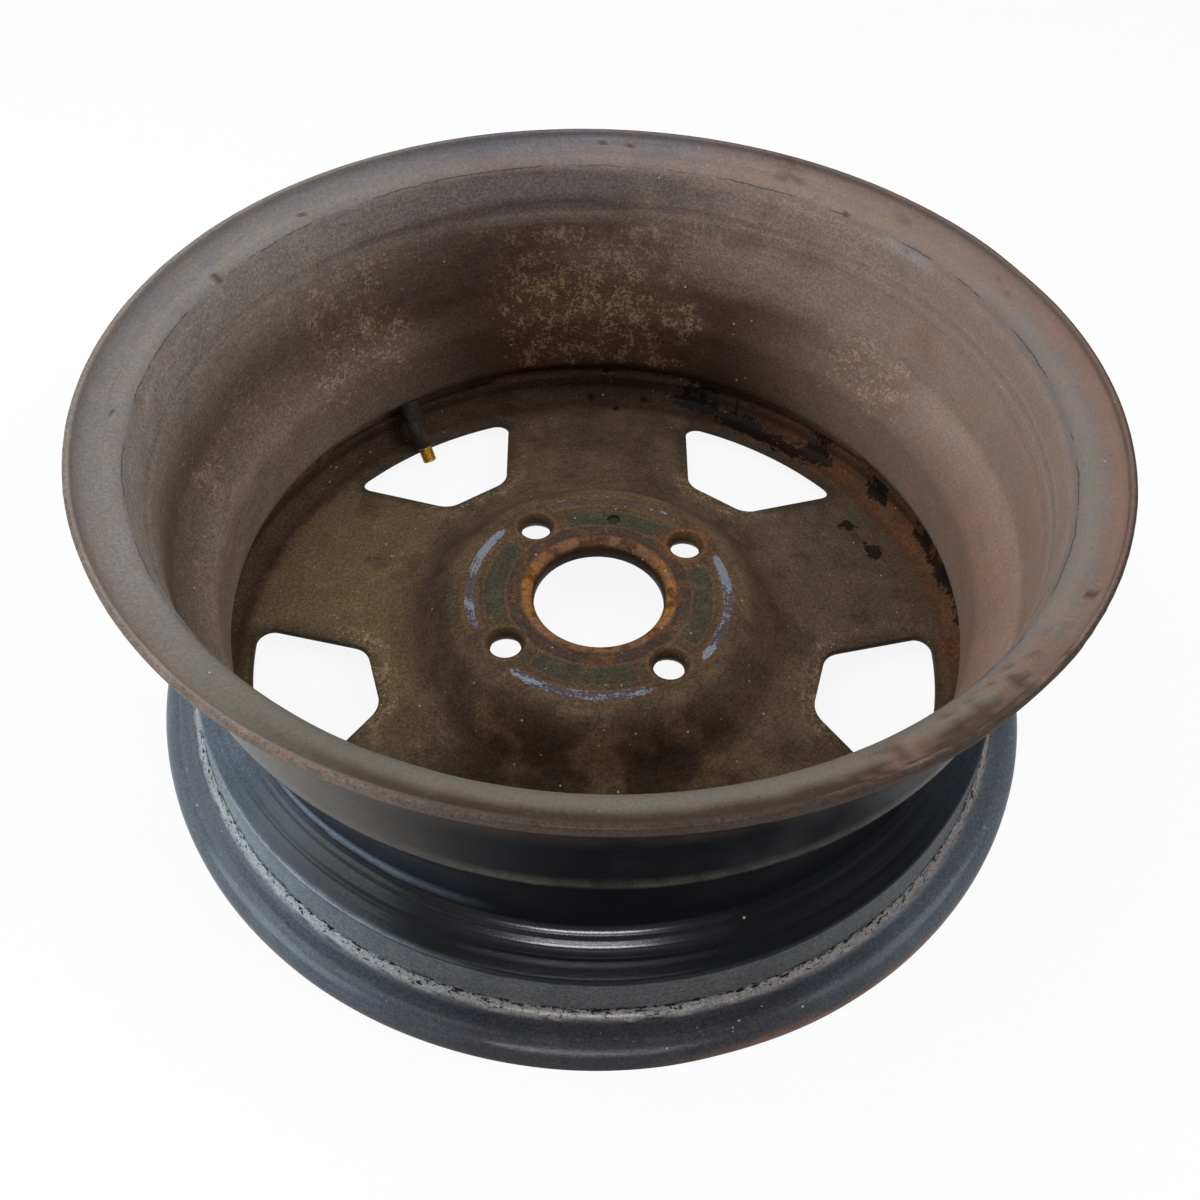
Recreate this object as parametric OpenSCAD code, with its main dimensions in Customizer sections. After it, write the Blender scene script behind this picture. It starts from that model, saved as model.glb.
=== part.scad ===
// Steel road wheel: a rolled rim, a pressed disc welded under the outboard bead seat, and a snap-in valve.
// The wheel lies on its outboard lip, with the axle line along +Z and the inboard side up.
// The origin is the centre of the face that bolts against the hub.

/* [Rim] */
// Width between the two flange faces
rim_width = 152.4; // [146:0.1:180]
// Bead seat diameter at the flange faces
bead_seat_d = 380.2; // [375:0.1:410]
// Height of each flange above the bead seat
flange_h = 17.3; // [16:0.1:22]
// Width of each flange, from its face to the free edge of its lip
flange_w = 11; // [10.5:0.1:16]
// Thickness of the rim's sheet
rim_sheet = 2.6; // [2:0.1:3.2]
// Radius that the flange curls over
curl_r = 9; // [7:0.1:10]
// Radius between the bead seat and the flange face
bead_fillet = 6.5; // [5:0.1:7.5]
// Taper of the bead seats
seat_taper = 5; // [3:0.1:6]
// Width of each bead seat, from the flange face to the middle of the hump
seat_w = 23.5; // [22.5:0.1:27]
// Height of the safety humps above the bead seats
hump_h = 0.9; // [0.5:0.1:1.4]
// Width of each safety hump
hump_w = 7; // [6:0.1:8]
// Depth of the drop well below the bead seat
well_depth = 17.3; // [15:0.1:20]
// Width of the flat bottom of the well
well_w = 30.5; // [24:0.1:34]
// Distance from the outboard flange face to the well's outboard corner
well_from_face = 34.7; // [33.5:0.1:40]
// Depth of the ledge inboard of the well, below the bead seat
ledge_depth = 3.6; // [2.8:0.1:5]
// Length of the slope from the ledge down to the well
slope_w = 24; // [20:0.1:28]

/* [Disc] */
// Distance from the hub face to the middle plane of the rim
wheel_offset = 47.5; // [44:0.1:52]
// Thickness of the disc's sheet
disc_sheet = 3.2; // [2.6:0.1:3.6]
// Diameter of the hub bore
bore_d = 63.4; // [56:0.1:66]
// Depth of the collar that is drawn round the hub bore
bore_collar = 10.5; // [9:0.1:13]
// Radius that the sheet turns over into the hub bore
bore_round = 5; // [4.2:0.1:6]
// Diameter at which the flat hub pad turns down
pad_d = 143.4; // [138:0.1:148]
// Radius at the edge of the hub pad
pad_round = 12; // [8:0.1:14]
// Diameter at the foot of the cone between the hub pad and the window ring
cone_foot_d = 184; // [178:0.1:190]
// Radius at the foot of the cone
cone_foot_round = 16; // [10:0.1:18]
// How far the window ring falls away towards the welded flange
ring_fall = 7.3; // [4:0.1:9]
// Height of the window ring's outer edge above the plane of the outboard flange face
ring_above_face = 0.2; // [0:0.1:3]
// Radius where the window ring turns up into the welded flange
flange_bend = 8; // [6:0.1:10]
// Height of the welded flange above the window ring's outer edge
disc_flange_h = 15.5; // [13:0.1:16]
// Gap between the welded flange and the inside of the bead seat
disc_fit = 0.05; // [0.02:0.01:0.3]

/* [Hub pad] */
// Number of bolt holes
bolt_count = 4; // [3:1:4]
// Bolt circle diameter
bolt_circle_d = 108; // [104:0.1:112]
// Diameter of each bolt hole
bolt_hole_d = 14.5; // [12:0.1:15.5]
// Direction of the first bolt hole
bolt_turn = 38.25; // [0:0.05:90]
// Radius that the sheet turns over into each bolt hole
bolt_round = 2.6; // [2:0.1:3]
// Depth of the boss that is drawn round each bolt hole
bolt_boss_h = 9.5; // [8:0.1:11]
// Depth of the wheel nut's cone seat in each boss
nut_seat_h = 1.9; // [1.2:0.1:2.6]
// Angle across the cone seat
nut_seat_angle = 60; // [50:1:70]
// Height of the worn pads that bear on the hub
contact_h = 0.4; // [0.2:0.1:0.8]
// Width of the contact pads
contact_w = 6; // [4:0.1:6.5]
// Diameter of the ring along the middle of the contact pads
contact_d = 124.8; // [122:0.1:126]
// Angle that each contact pad spans
contact_angle = 63; // [40:1:66]
// Depth of the shallow panels between the bolt holes
panel_depth = 0.7; // [0.3:0.1:1.2]
// Width of the shallow panels
panel_w = 9.8; // [7:0.1:10.5]
// Diameter of the ring along the middle of the shallow panels
panel_d = 101; // [98:0.1:104]
// Angle that each shallow panel spans
panel_angle = 54; // [36:1:57]
// Diameter of the locating hole
locating_d = 6.5; // [4:0.1:8]
// Direction of the locating hole
locating_turn = 83.2; // [75:0.1:92]

/* [Windows] */
// Number of windows
window_count = 5; // [4:1:5]
// Direction of the first window
window_turn = 55.8; // [0:0.1:72]
// Distance from the axle line to a window's inner edge
window_inner = 111.5; // [108:0.1:118]
// Width of the ring between a window's outer edge and the welded flange
window_band = 17.3; // [15:0.1:20]
// Width of a window along its inner edge
window_inner_w = 36.4; // [30:0.1:42]
// Angle that each side of a window leans out from its middle line
window_lean = 34.3; // [28:0.1:36]
// Radius of a window's inner corners
window_inner_round = 12; // [8:0.1:13]
// Radius of a window's outer corners
window_outer_round = 7; // [5:0.1:9]
// Width of the pressed border round each window
border_w = 5; // [4:0.1:7]
// Depth of the pressed border
border_drop = 1.1; // [0.6:0.1:1.8]

/* [Welds] */
// Size of the weld beads
weld_size = 3.4; // [2.4:0.1:3.6]
// Angle that each weld bead spans
weld_angle = 40; // [20:1:60]

/* [Valve] */
// Direction of the valve
valve_turn = 129.2; // [0:0.1:360]
// How far the valve sits from the middle of the well's outboard wall, towards the well
valve_shift = 1; // [0.6:0.1:1.4]
// Diameter of the valve hole
valve_hole_d = 11.5; // [10.8:0.1:12]
// Gap round the rubber in the valve hole
valve_fit = 0.1; // [0.05:0.01:0.3]
// Length of the valve, from the rim's inner face to its tip
valve_length = 37; // [34:0.1:39]
// Diameter of the rubber foot inside the tyre
valve_foot_d = 14.5; // [13.5:0.1:16]
// Height of the rubber foot
valve_foot_h = 4.5; // [3.5:0.1:6]
// Diameter of the rubber shoulder that grips the rim
valve_shoulder_d = 14; // [13:0.1:15]
// Length of the rubber shoulder
valve_shoulder_l = 3; // [2:0.1:4]
// Diameter of the rubber behind the shoulder
valve_neck_d = 11.4; // [10.8:0.1:12]
// Diameter of the rubber at its outer end
valve_rubber_d = 9.6; // [9:0.1:10.4]
// Diameter of the threaded brass tip
valve_thread_d = 7.7; // [6.8:0.1:8]
// Length of the threaded brass tip
valve_thread_l = 8.6; // [7:0.1:11]
// Diameter of the brass stem inside the rubber
valve_stem_d = 6.2; // [5.8:0.1:6.4]
// Diameter of the air passage
air_d = 3; // [2.2:0.1:3.4]
// Diameter of the bore that the valve core screws into
core_bore_d = 4.6; // [4.4:0.1:4.8]
// Length of the valve core's plug
core_l = 10; // [8:0.1:12]
// Distance from the stem's tip down to the plug
core_recess = 0.8; // [0.5:0.1:1.5]
// Gap round the plug
core_fit = 0.05; // [0.02:0.01:0.1]
// Diameter of the pin that is pressed to let air out
pin_d = 1.4; // [1.2:0.1:1.6]
// Gap round the pin in the plug
pin_fit = 0.15; // [0.1:0.01:0.25]
// How far the pin can be pressed in
pin_travel = 1.2; // [0.8:0.1:1.6]
// Diameter of the seal cup on the pin's inner end
cup_d = 3.8; // [3.4:0.1:3.9]
// Length of the seal cup
cup_l = 1.6; // [1.2:0.1:2]

/* [Hidden] */
$fn = 180;
// Angle between neighbouring points of a rounded corner
arc_step = 9;
// Angle between neighbouring points of a window's corners, and of its long outer edge
window_corner_step = 15;
window_edge_step = 5;
// How far the cutters pass the faces that they cut
over = 1;

// Heights along the axle line
face_out_z = wheel_offset - rim_width / 2;
face_in_z = wheel_offset + rim_width / 2;
lip_out_z = face_out_z - flange_w;
lip_in_z = face_in_z + flange_w;
hump_out_z = face_out_z + seat_w;
hump_in_z = face_in_z - seat_w;
well_out_z = face_out_z + well_from_face;
well_in_z = well_out_z + well_w;
ledge_z = well_in_z + slope_w;

// Radii of the rim's tyre side
seat_r = bead_seat_d / 2;
lip_r = seat_r + flange_h;
well_r = seat_r - well_depth;
ledge_r = seat_r - ledge_depth;
hump_foot_r = seat_r - (seat_w - hump_w / 2) * tan(seat_taper);
hump_r = hump_foot_r + hump_h;
hump_round = 3;
hump_foot_round = 4;
ledge_round = 12;
well_round = 4.5;

// The well's outboard wall carries the valve, which stands square to it
wall_foot = [well_r, well_out_z];
wall_head = [hump_r, hump_out_z];
wall_lean = atan2(wall_foot.y - wall_head.y, wall_head.x - wall_foot.x);
valve_place = (wall_foot + wall_head) / 2 + valve_shift * unit(wall_foot - wall_head);

// Heights and radii of the disc's inboard face
pad_z = -contact_h;
ring_edge_z = face_out_z + ring_above_face;
cone_foot_z = ring_edge_z + ring_fall;
flange_top_z = ring_edge_z + disc_flange_h;
function seat_inside_r(z) = seat_r - (z - face_out_z) * tan(seat_taper) - rim_sheet / cos(seat_taper);
function flange_inside_r(z) = seat_inside_r(z) - disc_fit - disc_sheet / cos(seat_taper);
window_outer = flange_inside_r(ring_edge_z) - window_band;

// Hub pad
bore_r = bore_d / 2;
bolt_r = bolt_hole_d / 2;
bolt_boss_r = bolt_r + bolt_round + disc_sheet;
nut_seat_z = -bolt_boss_h + nut_seat_h;
nut_seat_r = bolt_r + nut_seat_h * tan(nut_seat_angle / 2);

// Valve, measured along its own axis from the tyre side of the wall, with the tip downwards
valve_tip_z = -rim_sheet - valve_length;
valve_rubber_end_z = valve_tip_z + valve_thread_l;
// Room for the curve of the wall behind the flat shoulder
valve_shoulder_gap = 0.3;
valve_shoulder_z = -rim_sheet - valve_shoulder_gap;
valve_neck_z = valve_shoulder_z - valve_shoulder_l;
valve_foot_round = 2.5;
core_z = valve_tip_z + core_recess;
core_top_z = core_z + core_l;
// Gap between the seal cup and the plug, and behind the cup when the pin is pressed in
cup_gap = 0.1;
cup_z = core_top_z + cup_gap;
core_bore_top_z = cup_z + cup_l + pin_travel + core_recess;
// The pin stops short of the stem's tip
pin_recess = 0.3;

// Points round a corner of the given radius, where a path turns at b on its way from a to c
function unit(v) = v / norm(v);
function corner(a, b, c, r, step = arc_step) =
    let (u = unit(a - b), v = unit(c - b), half = acos(u * v) / 2)
    let (centre = b + unit(u + v) * r / sin(half))
    let (first = b + u * r / tan(half) - centre)
    let (side = cross(b - a, c - b) > 0 ? 1 : -1, turn = side * (180 - 2 * half))
    arc(centre, r, atan2(first.y, first.x), turn, step);

// Points along an arc that starts at one angle and turns through another
function arc(centre, r, start, turn, step) =
    let (steps = ceil(abs(turn) / step))
    [for (i = [0 : steps]) centre + r * [cos(start + turn * i / steps), sin(start + turn * i / steps)]];

// A path of [x, y, corner radius] rows as plain points, with its corners rounded
function point(row) = [row.x, row.y];
function round_path(rows) =
    let (last = len(rows) - 1)
    [for (i = [0 : last]) each i == 0 || i == last
        ? [point(rows[i])]
        : corner(point(rows[i - 1]), point(rows[i]), point(rows[i + 1]), rows[i].z)];

function backwards(list) = [for (i = [len(list) - 1 : -1 : 0]) list[i]];

// A path moved to its right-hand side by a distance
function right_of(v) = [v.y, -v.x];
function moved_path(path, distance) =
    let (last = len(path) - 1)
    [for (i = [0 : last])
        let (before = right_of(unit(path[max(i, 1)] - path[max(i, 1) - 1])))
        let (after = right_of(unit(path[min(i, last - 1) + 1] - path[min(i, last - 1)])))
        path[i] + distance * (before + after) / (1 + before * after)];

// Section of a sheet whose one face follows the rows
module sheet_section(rows, thickness) {
    face = round_path(rows);
    polygon(concat(face, backwards(moved_path(face, thickness))));
}

// Tyre side of the rim, from the inboard lip to the outboard lip
rim_rows = [
    [lip_r, lip_in_z, 0],
    [lip_r, face_in_z, curl_r],
    [seat_r, face_in_z, bead_fillet],
    [hump_foot_r, hump_in_z + hump_w / 2, hump_foot_round],
    [hump_r, hump_in_z, hump_round],
    [ledge_r, hump_in_z - hump_w / 2, hump_foot_round],
    [ledge_r, ledge_z, ledge_round],
    [well_r, well_in_z, ledge_round],
    [well_r, well_out_z, well_round],
    [hump_r, hump_out_z, hump_round],
    [hump_foot_r, hump_out_z - hump_w / 2, hump_foot_round],
    [seat_r, face_out_z, bead_fillet],
    [lip_r, face_out_z, curl_r],
    [lip_r, lip_out_z, 0]
];

// Inboard face of the disc, from the bore's collar to the top of the welded flange
disc_rows = [
    [bore_r, -bore_collar, 0],
    [bore_r, pad_z, bore_round],
    [pad_d / 2, pad_z, pad_round],
    [cone_foot_d / 2, cone_foot_z, cone_foot_round],
    [flange_inside_r(ring_edge_z), ring_edge_z, flange_bend],
    [flange_inside_r(flange_top_z), flange_top_z, 0]
];

module rim() {
    color([0.20, 0.17, 0.15]) difference() {
        rotate_extrude() sheet_section(rim_rows, rim_sheet);
        valve_seat() cylinder(d = valve_hole_d, h = 4 * rim_sheet, center = true);
    }
}

// One side of a window's outline, with room round it, from the inner edge to the outer edge's middle
function window_side(room) =
    let (lean = window_lean, along = [cos(lean), sin(lean)], inwards = [sin(lean), -cos(lean)])
    let (inner = window_inner - room, outer = window_outer + room, r = window_outer_round + room)
    let (half_w = window_inner_w / 2 + room / cos(lean) - room * tan(lean), edge = [inner, half_w])
    let (p = edge + r * inwards, run = sqrt((p * along) ^ 2 - p * p + (outer - r) ^ 2) - p * along)
    let (centre = p + run * along, heading = atan2(centre.y, centre.x))
    concat(
        corner([inner, 0], edge, edge + along, window_inner_round + room, window_corner_step),
        arc(centre, r, 90 + lean, heading - 90 - lean, window_corner_step),
        arc([0, 0], outer, heading, -heading, window_edge_step)
    );

module windows(room) {
    side = window_side(room);
    mirrored = [for (p = backwards(side)) [p.x, -p.y]];
    for (i = [0 : window_count - 1]) rotate(window_turn + i * 360 / window_count)
        translate([0, 0, 2 * lip_out_z]) linear_extrude(-2 * lip_out_z) polygon(concat(side, mirrored));
}

module disc_shell() {
    rotate_extrude() sheet_section(disc_rows, disc_sheet);
}

// The window ring, with a border pressed down round each window
module ringed_disc() {
    difference() {
        disc_shell();
        windows(border_w);
    }
    intersection() {
        translate([0, 0, -border_drop]) disc_shell();
        windows(border_w);
    }
}

// Children at each bolt hole
module at_bolts() {
    for (i = [0 : bolt_count - 1]) rotate(bolt_turn + i * 360 / bolt_count)
        translate([bolt_circle_d / 2, 0, 0]) children();
}

// A band along a ring, half way between each two bolt holes
module bands(ring_d, width, angle, low_z, high_z) {
    for (i = [0 : bolt_count - 1])
        rotate(bolt_turn + (i + 0.5) * 360 / bolt_count - angle / 2) rotate_extrude(angle = angle)
            translate([(ring_d - width) / 2, low_z]) square([width, high_z - low_z]);
}

module bolt_hole() {
    mouth_r = bolt_r + bolt_round;
    rotate_extrude() polygon(concat(
        [[0, over], [mouth_r, over]],
        arc([mouth_r, pad_z - bolt_round], bolt_round, 90, 90, arc_step),
        [[bolt_r, nut_seat_z], [nut_seat_r, -bolt_boss_h], [nut_seat_r, -bolt_boss_h - over]],
        [[0, -bolt_boss_h - over]]
    ));
}

module wheel_disc() {
    color([0.30, 0.23, 0.17]) difference() {
        union() {
            ringed_disc();
            at_bolts() translate([0, 0, -bolt_boss_h])
                cylinder(r = bolt_boss_r, h = bolt_boss_h - disc_sheet / 2);
            bands(contact_d, contact_w, contact_angle, pad_z - disc_sheet / 2, 0);
        }
        windows(0);
        at_bolts() bolt_hole();
        bands(panel_d, panel_w, panel_angle, pad_z - panel_depth, over);
        rotate(locating_turn) translate([panel_d / 2, 0, -2 * disc_sheet])
            cylinder(d = locating_d, h = 3 * disc_sheet);
    }
}

// A bead in the corner between the welded flange's edge and the inside of the bead seat, between the windows
module disc_welds() {
    foot_z = flange_top_z + (disc_sheet + disc_fit * cos(seat_taper)) * sin(seat_taper);
    foot = [seat_inside_r(foot_z), foot_z];
    bead = arc(foot, weld_size, 90 + seat_taper, 90, arc_step);
    color([0.26, 0.19, 0.14]) for (i = [0 : window_count - 1])
        rotate(window_turn + (i + 0.5) * 360 / window_count - weld_angle / 2)
            rotate_extrude(angle = weld_angle) polygon(concat([foot], bead));
}

// Children with the tyre side of the well's outboard wall at their origin, and the valve's tip downwards
module valve_seat() {
    rotate(valve_turn) translate([valve_place.x, 0, valve_place.y]) rotate([0, wall_lean, 0]) children();
}

module valve_rubber() {
    foot_r = valve_foot_d / 2;
    foot_flat_r = foot_r - valve_foot_round;
    neck_r = valve_hole_d / 2 - valve_fit;
    color([0.10, 0.10, 0.09]) valve_seat() rotate_extrude() polygon(concat(
        [[air_d / 2, valve_foot_h], [foot_flat_r, valve_foot_h]],
        arc([foot_flat_r, valve_foot_h - valve_foot_round], valve_foot_round, 90, -90, arc_step),
        [[foot_r, 0], [neck_r, 0], [neck_r, valve_shoulder_z], [valve_shoulder_d / 2, valve_shoulder_z]],
        [[valve_neck_d / 2, valve_neck_z], [valve_rubber_d / 2, valve_rubber_end_z]],
        [[valve_stem_d / 2, valve_rubber_end_z], [valve_stem_d / 2, valve_neck_z], [air_d / 2, valve_neck_z]]
    ));
}

module valve_stem() {
    color([0.72, 0.55, 0.22]) valve_seat() rotate_extrude() polygon([
        [air_d / 2, valve_neck_z],
        [valve_stem_d / 2, valve_neck_z],
        [valve_stem_d / 2, valve_rubber_end_z],
        [valve_thread_d / 2, valve_rubber_end_z],
        [valve_thread_d / 2, valve_tip_z],
        [core_bore_d / 2, valve_tip_z],
        [core_bore_d / 2, core_bore_top_z],
        [air_d / 2, core_bore_top_z]
    ]);
}

module valve_core() {
    color([0.78, 0.64, 0.34]) valve_seat() translate([0, 0, core_z]) difference() {
        cylinder(d = core_bore_d - 2 * core_fit, h = core_l);
        translate([0, 0, -over]) cylinder(d = pin_d + 2 * pin_fit, h = core_l + 2 * over);
    }
}

module valve_pin() {
    pin_z = valve_tip_z + pin_recess;
    color([0.70, 0.60, 0.40]) valve_seat() {
        translate([0, 0, pin_z]) cylinder(d = pin_d, h = cup_z + cup_l - pin_z);
        translate([0, 0, cup_z]) cylinder(d = cup_d, h = cup_l);
    }
}

rim();
wheel_disc();
disc_welds();
valve_rubber();
valve_stem();
valve_core();
valve_pin();
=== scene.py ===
"""Looks of a used steel road wheel that lies on its outboard lip, inboard side up."""
import math

import bmesh
import bpy
import numpy as np
from mathutils import Matrix, Vector, noise
from mathutils.geometry import delaunay_2d_cdt
from mathutils.kdtree import KDTree


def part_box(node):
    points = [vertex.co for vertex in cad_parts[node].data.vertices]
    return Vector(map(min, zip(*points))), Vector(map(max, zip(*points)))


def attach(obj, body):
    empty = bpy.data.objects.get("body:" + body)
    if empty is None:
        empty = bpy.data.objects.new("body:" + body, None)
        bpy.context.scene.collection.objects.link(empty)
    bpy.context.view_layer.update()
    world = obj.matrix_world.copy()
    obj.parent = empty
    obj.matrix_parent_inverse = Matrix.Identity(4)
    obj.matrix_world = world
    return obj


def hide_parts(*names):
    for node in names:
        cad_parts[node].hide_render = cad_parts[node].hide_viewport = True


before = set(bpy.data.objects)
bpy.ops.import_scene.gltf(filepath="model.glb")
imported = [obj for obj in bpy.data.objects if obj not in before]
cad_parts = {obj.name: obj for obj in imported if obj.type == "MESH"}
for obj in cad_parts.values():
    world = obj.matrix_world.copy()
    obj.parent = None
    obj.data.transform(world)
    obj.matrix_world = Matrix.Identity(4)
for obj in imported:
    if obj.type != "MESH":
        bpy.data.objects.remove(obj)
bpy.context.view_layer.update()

# Units: sizes below are millimetres and degrees, as in the part's source
MM = 0.001

# Rim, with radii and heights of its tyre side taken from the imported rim's box
rim_low, rim_high = (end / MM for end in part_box("rim"))
lip_r = rim_high.x
lip_in_z = rim_high.z
lip_out_z = rim_low.z
flange_h = 17.3
flange_w = 11
rim_sheet = 2.6
curl_r = 9
bead_fillet = 6.5
seat_taper = 5
seat_w = 23.5
hump_h = 0.9
hump_w = 7
hump_round = 3
hump_foot_round = 4
well_depth = 17.3
well_w = 30.5
well_from_face = 34.7
well_round = 4.5
ledge_depth = 3.6
ledge_round = 12
slope_w = 24
edge_round = 0.9
groove_depth = 0.14
groove_half_w = 0.3
groove_places = (3.4, 5.6, 6.4, 7.3, 11.2)
wall_swell = 0.16
bend_reach = 4.5
crease_place = (188.6, 122.6)

# Disc
disc_sheet = 3.2
bore_r = 31.7
bore_collar = 10.5
bore_round = 5
pad_r = 71.7
pad_round = 12
cone_foot_r = 92
cone_foot_round = 16
ring_fall = 7.3
ring_above_face = 0.2
flange_bend = 8
disc_flange_h = 15.5
disc_fit = 0.05

# Hub pad
bolt_count = 4
bolt_circle_r = 54
bolt_r = 7.25
bolt_turn = 38.25
bolt_round = 2.6
bolt_boss_h = 9.5
nut_seat_angle = 60
boss_fillet = 1.6
crater_depth = 4.2
throat_h = 1.4
contact_h = 0.4
contact_w = 6
contact_ring_r = 62.4
contact_angle = 63
panel_depth = 0.7
panel_w = 9.8
panel_ring_r = 50.5
panel_angle = 54
locating_r = 3.25
locating_turn = 83.2
# A plug in the locating hole stands in for the shade under the disc, at these depths from each face
shade_plug_depth = 1.7
shade_plug_back = 0.4

# Windows
window_count = 5
window_turn = 55.8
window_inner = 111.5
window_band = 17.3
window_inner_w = 36.4
window_lean = 34.3
window_inner_round = 12
window_outer_round = 7
border_w = 5
border_drop = 1.1
border_soft = 2.2
cut_round = 0.5
cut_steps = [(0.35, 0.12), (0.12, 0.35), (0.0, 0.6)]

# Welds and valve
weld_size = 3.4
weld_angle = 40
valve_turn = 129.2
valve_shift = 1
valve_hole_r = 5.75
valve_fit = 0.1
valve_length = 37
valve_foot_r = 7.25
valve_foot_h = 4.5
valve_shoulder_r = 7
valve_shoulder_l = 3
valve_shoulder_gap = 0.3
valve_neck_r = 5.7
valve_rubber_r = 4.8
valve_thread_r = 3.85
valve_thread_l = 8.6
thread_pitch = 0.79
thread_depth = 0.4
thread_chamfer = 0.5
valve_stem_r = 3.1
air_r = 1.5
core_bore_r = 2.3
core_bore_chamfer = 0.3
core_l = 10
core_recess = 0.8
core_fit = 0.05
pin_r = 0.7
pin_fit = 0.15
pin_recess = 0.3
pin_travel = 1.2
cup_r = 1.9
cup_l = 1.6
cup_gap = 0.1

# Fineness of the meshes
arc_step = 9
rim_sides = 340
section_step = 4.6
wall_step = 0.45
bend_step = 1.8
disc_sides = 360
bore_sides = 200
bolt_sides = 56
face_grain = 1.75
hub_grain = 0.95
hub_fine_r = 76
back_grain = 3.2
valve_sides = 64
thread_rows = 70

# Heights and radii worked out from these
face_out_z = lip_out_z + flange_w
face_in_z = lip_in_z - flange_w
seat_r = lip_r - flange_h
well_r = seat_r - well_depth
ledge_r = seat_r - ledge_depth
taper = math.tan(math.radians(seat_taper))
hump_foot_r = seat_r - (seat_w - hump_w / 2) * taper
hump_r = hump_foot_r + hump_h
hump_out_z = face_out_z + seat_w
hump_in_z = face_in_z - seat_w
well_out_z = face_out_z + well_from_face
well_in_z = well_out_z + well_w
ledge_z = well_in_z + slope_w
pad_z = -contact_h
ring_edge_z = face_out_z + ring_above_face
cone_foot_z = ring_edge_z + ring_fall
flange_top_z = ring_edge_z + disc_flange_h
taper_cos = math.cos(math.radians(seat_taper))
mouth_r = bolt_r + bolt_round
boss_r = mouth_r + disc_sheet


def seat_inside_r(z):
    return seat_r - (z - face_out_z) * taper - rim_sheet / taper_cos


def flange_inside_r(z):
    return seat_inside_r(z) - disc_fit - disc_sheet / taper_cos


window_outer = flange_inside_r(ring_edge_z) - window_band


# Paths in a plane
def unit(v):
    return v / np.hypot(*v)


def cross(a, b):
    return a[0] * b[1] - a[1] * b[0]


def arc(centre, r, start, turn, step=arc_step):
    count = max(1, math.ceil(abs(turn) / step))
    angle = np.radians(start + turn * np.arange(count + 1) / count)
    return [centre + r * np.array([math.cos(a), math.sin(a)]) for a in angle]


def corner(a, b, c, r, step=arc_step):
    """Points round a corner of radius r, where a path turns at b on its way from a to c."""
    u, v = unit(a - b), unit(c - b)
    half = math.acos(np.clip(u @ v, -1, 1)) / 2
    centre = b + unit(u + v) * r / math.sin(half)
    first = b + u * r / math.tan(half) - centre
    side = 1 if cross(b - a, c - b) > 0 else -1
    start = math.degrees(math.atan2(first[1], first[0]))
    return arc(centre, r, start, side * (180 - 2 * math.degrees(half)), step)


def round_path(rows):
    """A path of (x, y, corner radius) rows as points, and the first and last point of each corner."""
    at = [np.array(row[:2], float) for row in rows]
    points, corners = [at[0]], []
    for i in range(1, len(rows) - 1):
        turn = corner(at[i - 1], at[i], at[i + 1], rows[i][2])
        corners.append((len(points), len(points) + len(turn) - 1))
        points += turn
    return np.array(points + [at[-1]]), corners


def moved_path(path, distance):
    """The path moved to its right-hand side."""
    step = np.diff(path, axis=0)
    step /= np.linalg.norm(step, axis=1)[:, None]
    right = np.stack([step[:, 1], -step[:, 0]], 1)
    before, after = np.vstack([right[:1], right]), np.vstack([right, right[-1:]])
    return path + distance * (before + after) / (1 + (before * after).sum(1))[:, None]


def divided(path, longest):
    """The path with its long stretches divided, where longest gives the limit at a point."""
    points = [path[0]]
    for a, b in zip(path[:-1], path[1:]):
        count = max(1, math.ceil(np.hypot(*(b - a)) / longest((a + b) / 2)))
        points += [a + (b - a) * (i + 1) / count for i in range(count)]
    return np.array(points)


def run_along(path):
    """Distance of each point from the path's start, along the path."""
    return np.concatenate([[0], np.cumsum(np.hypot(*np.diff(path, axis=0).T))])


def sheet_loop(face, back, end_round):
    """A closed section between two faces of a sheet, with rounded free edges."""
    loop = [face[0], *face[1:-1], face[-1], back[-1], *back[-2:0:-1], back[0]]
    ends = {0, len(face) - 1, len(face), len(loop) - 1}
    points = []
    for i, p in enumerate(loop):
        before, after = loop[i - 1], loop[(i + 1) % len(loop)]
        points += corner(before, p, after, end_round, 30) if i in ends else [p]
    return np.array(points)


# Meshes
def new_piece(name, points, faces, material=None):
    """An object in the part's frame, from points in millimetres."""
    mesh = bpy.data.meshes.new(name)
    mesh.from_pydata([tuple(p) for p in np.asarray(points) * MM], [], [tuple(map(int, f)) for f in faces])
    mesh.update()
    piece = bpy.data.objects.new(name, mesh)
    bpy.context.scene.collection.objects.link(piece)
    if material:
        mesh.materials.append(material)
    return piece


def tidy_mesh(piece, sharp_angle=50):
    """Joins points that coincide, turns the faces outwards and shades them smooth between sharp edges."""
    weld_gap = 1e-7
    made = bmesh.new()
    made.from_mesh(piece.data)
    bmesh.ops.remove_doubles(made, verts=made.verts, dist=weld_gap)
    bmesh.ops.recalc_face_normals(made, faces=made.faces)
    made.to_mesh(piece.data)
    made.free()
    piece.data.shade_smooth()
    piece.data.set_sharp_from_angle(angle=math.radians(sharp_angle))


def rings(rows, sides, closed=False):
    """Faces between rows of points that are numbered one row after the other, each row a ring."""
    faces = []
    for i in range(rows if closed else rows - 1):
        low, high = i * sides, (i + 1) % rows * sides
        for j in range(sides):
            k = (j + 1) % sides
            faces.append((low + j, high + j, high + k, low + k))
    return faces


def turned(section, sides, start=0):
    """Points of a section of (radius, height) turned about the axle line."""
    angle = np.radians(start) + 2 * math.pi * np.arange(sides) / sides
    r, z = section[:, :1], section[:, 1:]
    return np.stack([r * np.cos(angle), r * np.sin(angle), np.repeat(z, sides, 1)], 2).reshape(-1, 3)


def coordinates(piece):
    flat = np.zeros(len(piece.data.vertices) * 3, np.float32)
    piece.data.vertices.foreach_get("co", flat)
    return flat.reshape(-1, 3).astype(float) / MM


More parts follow.
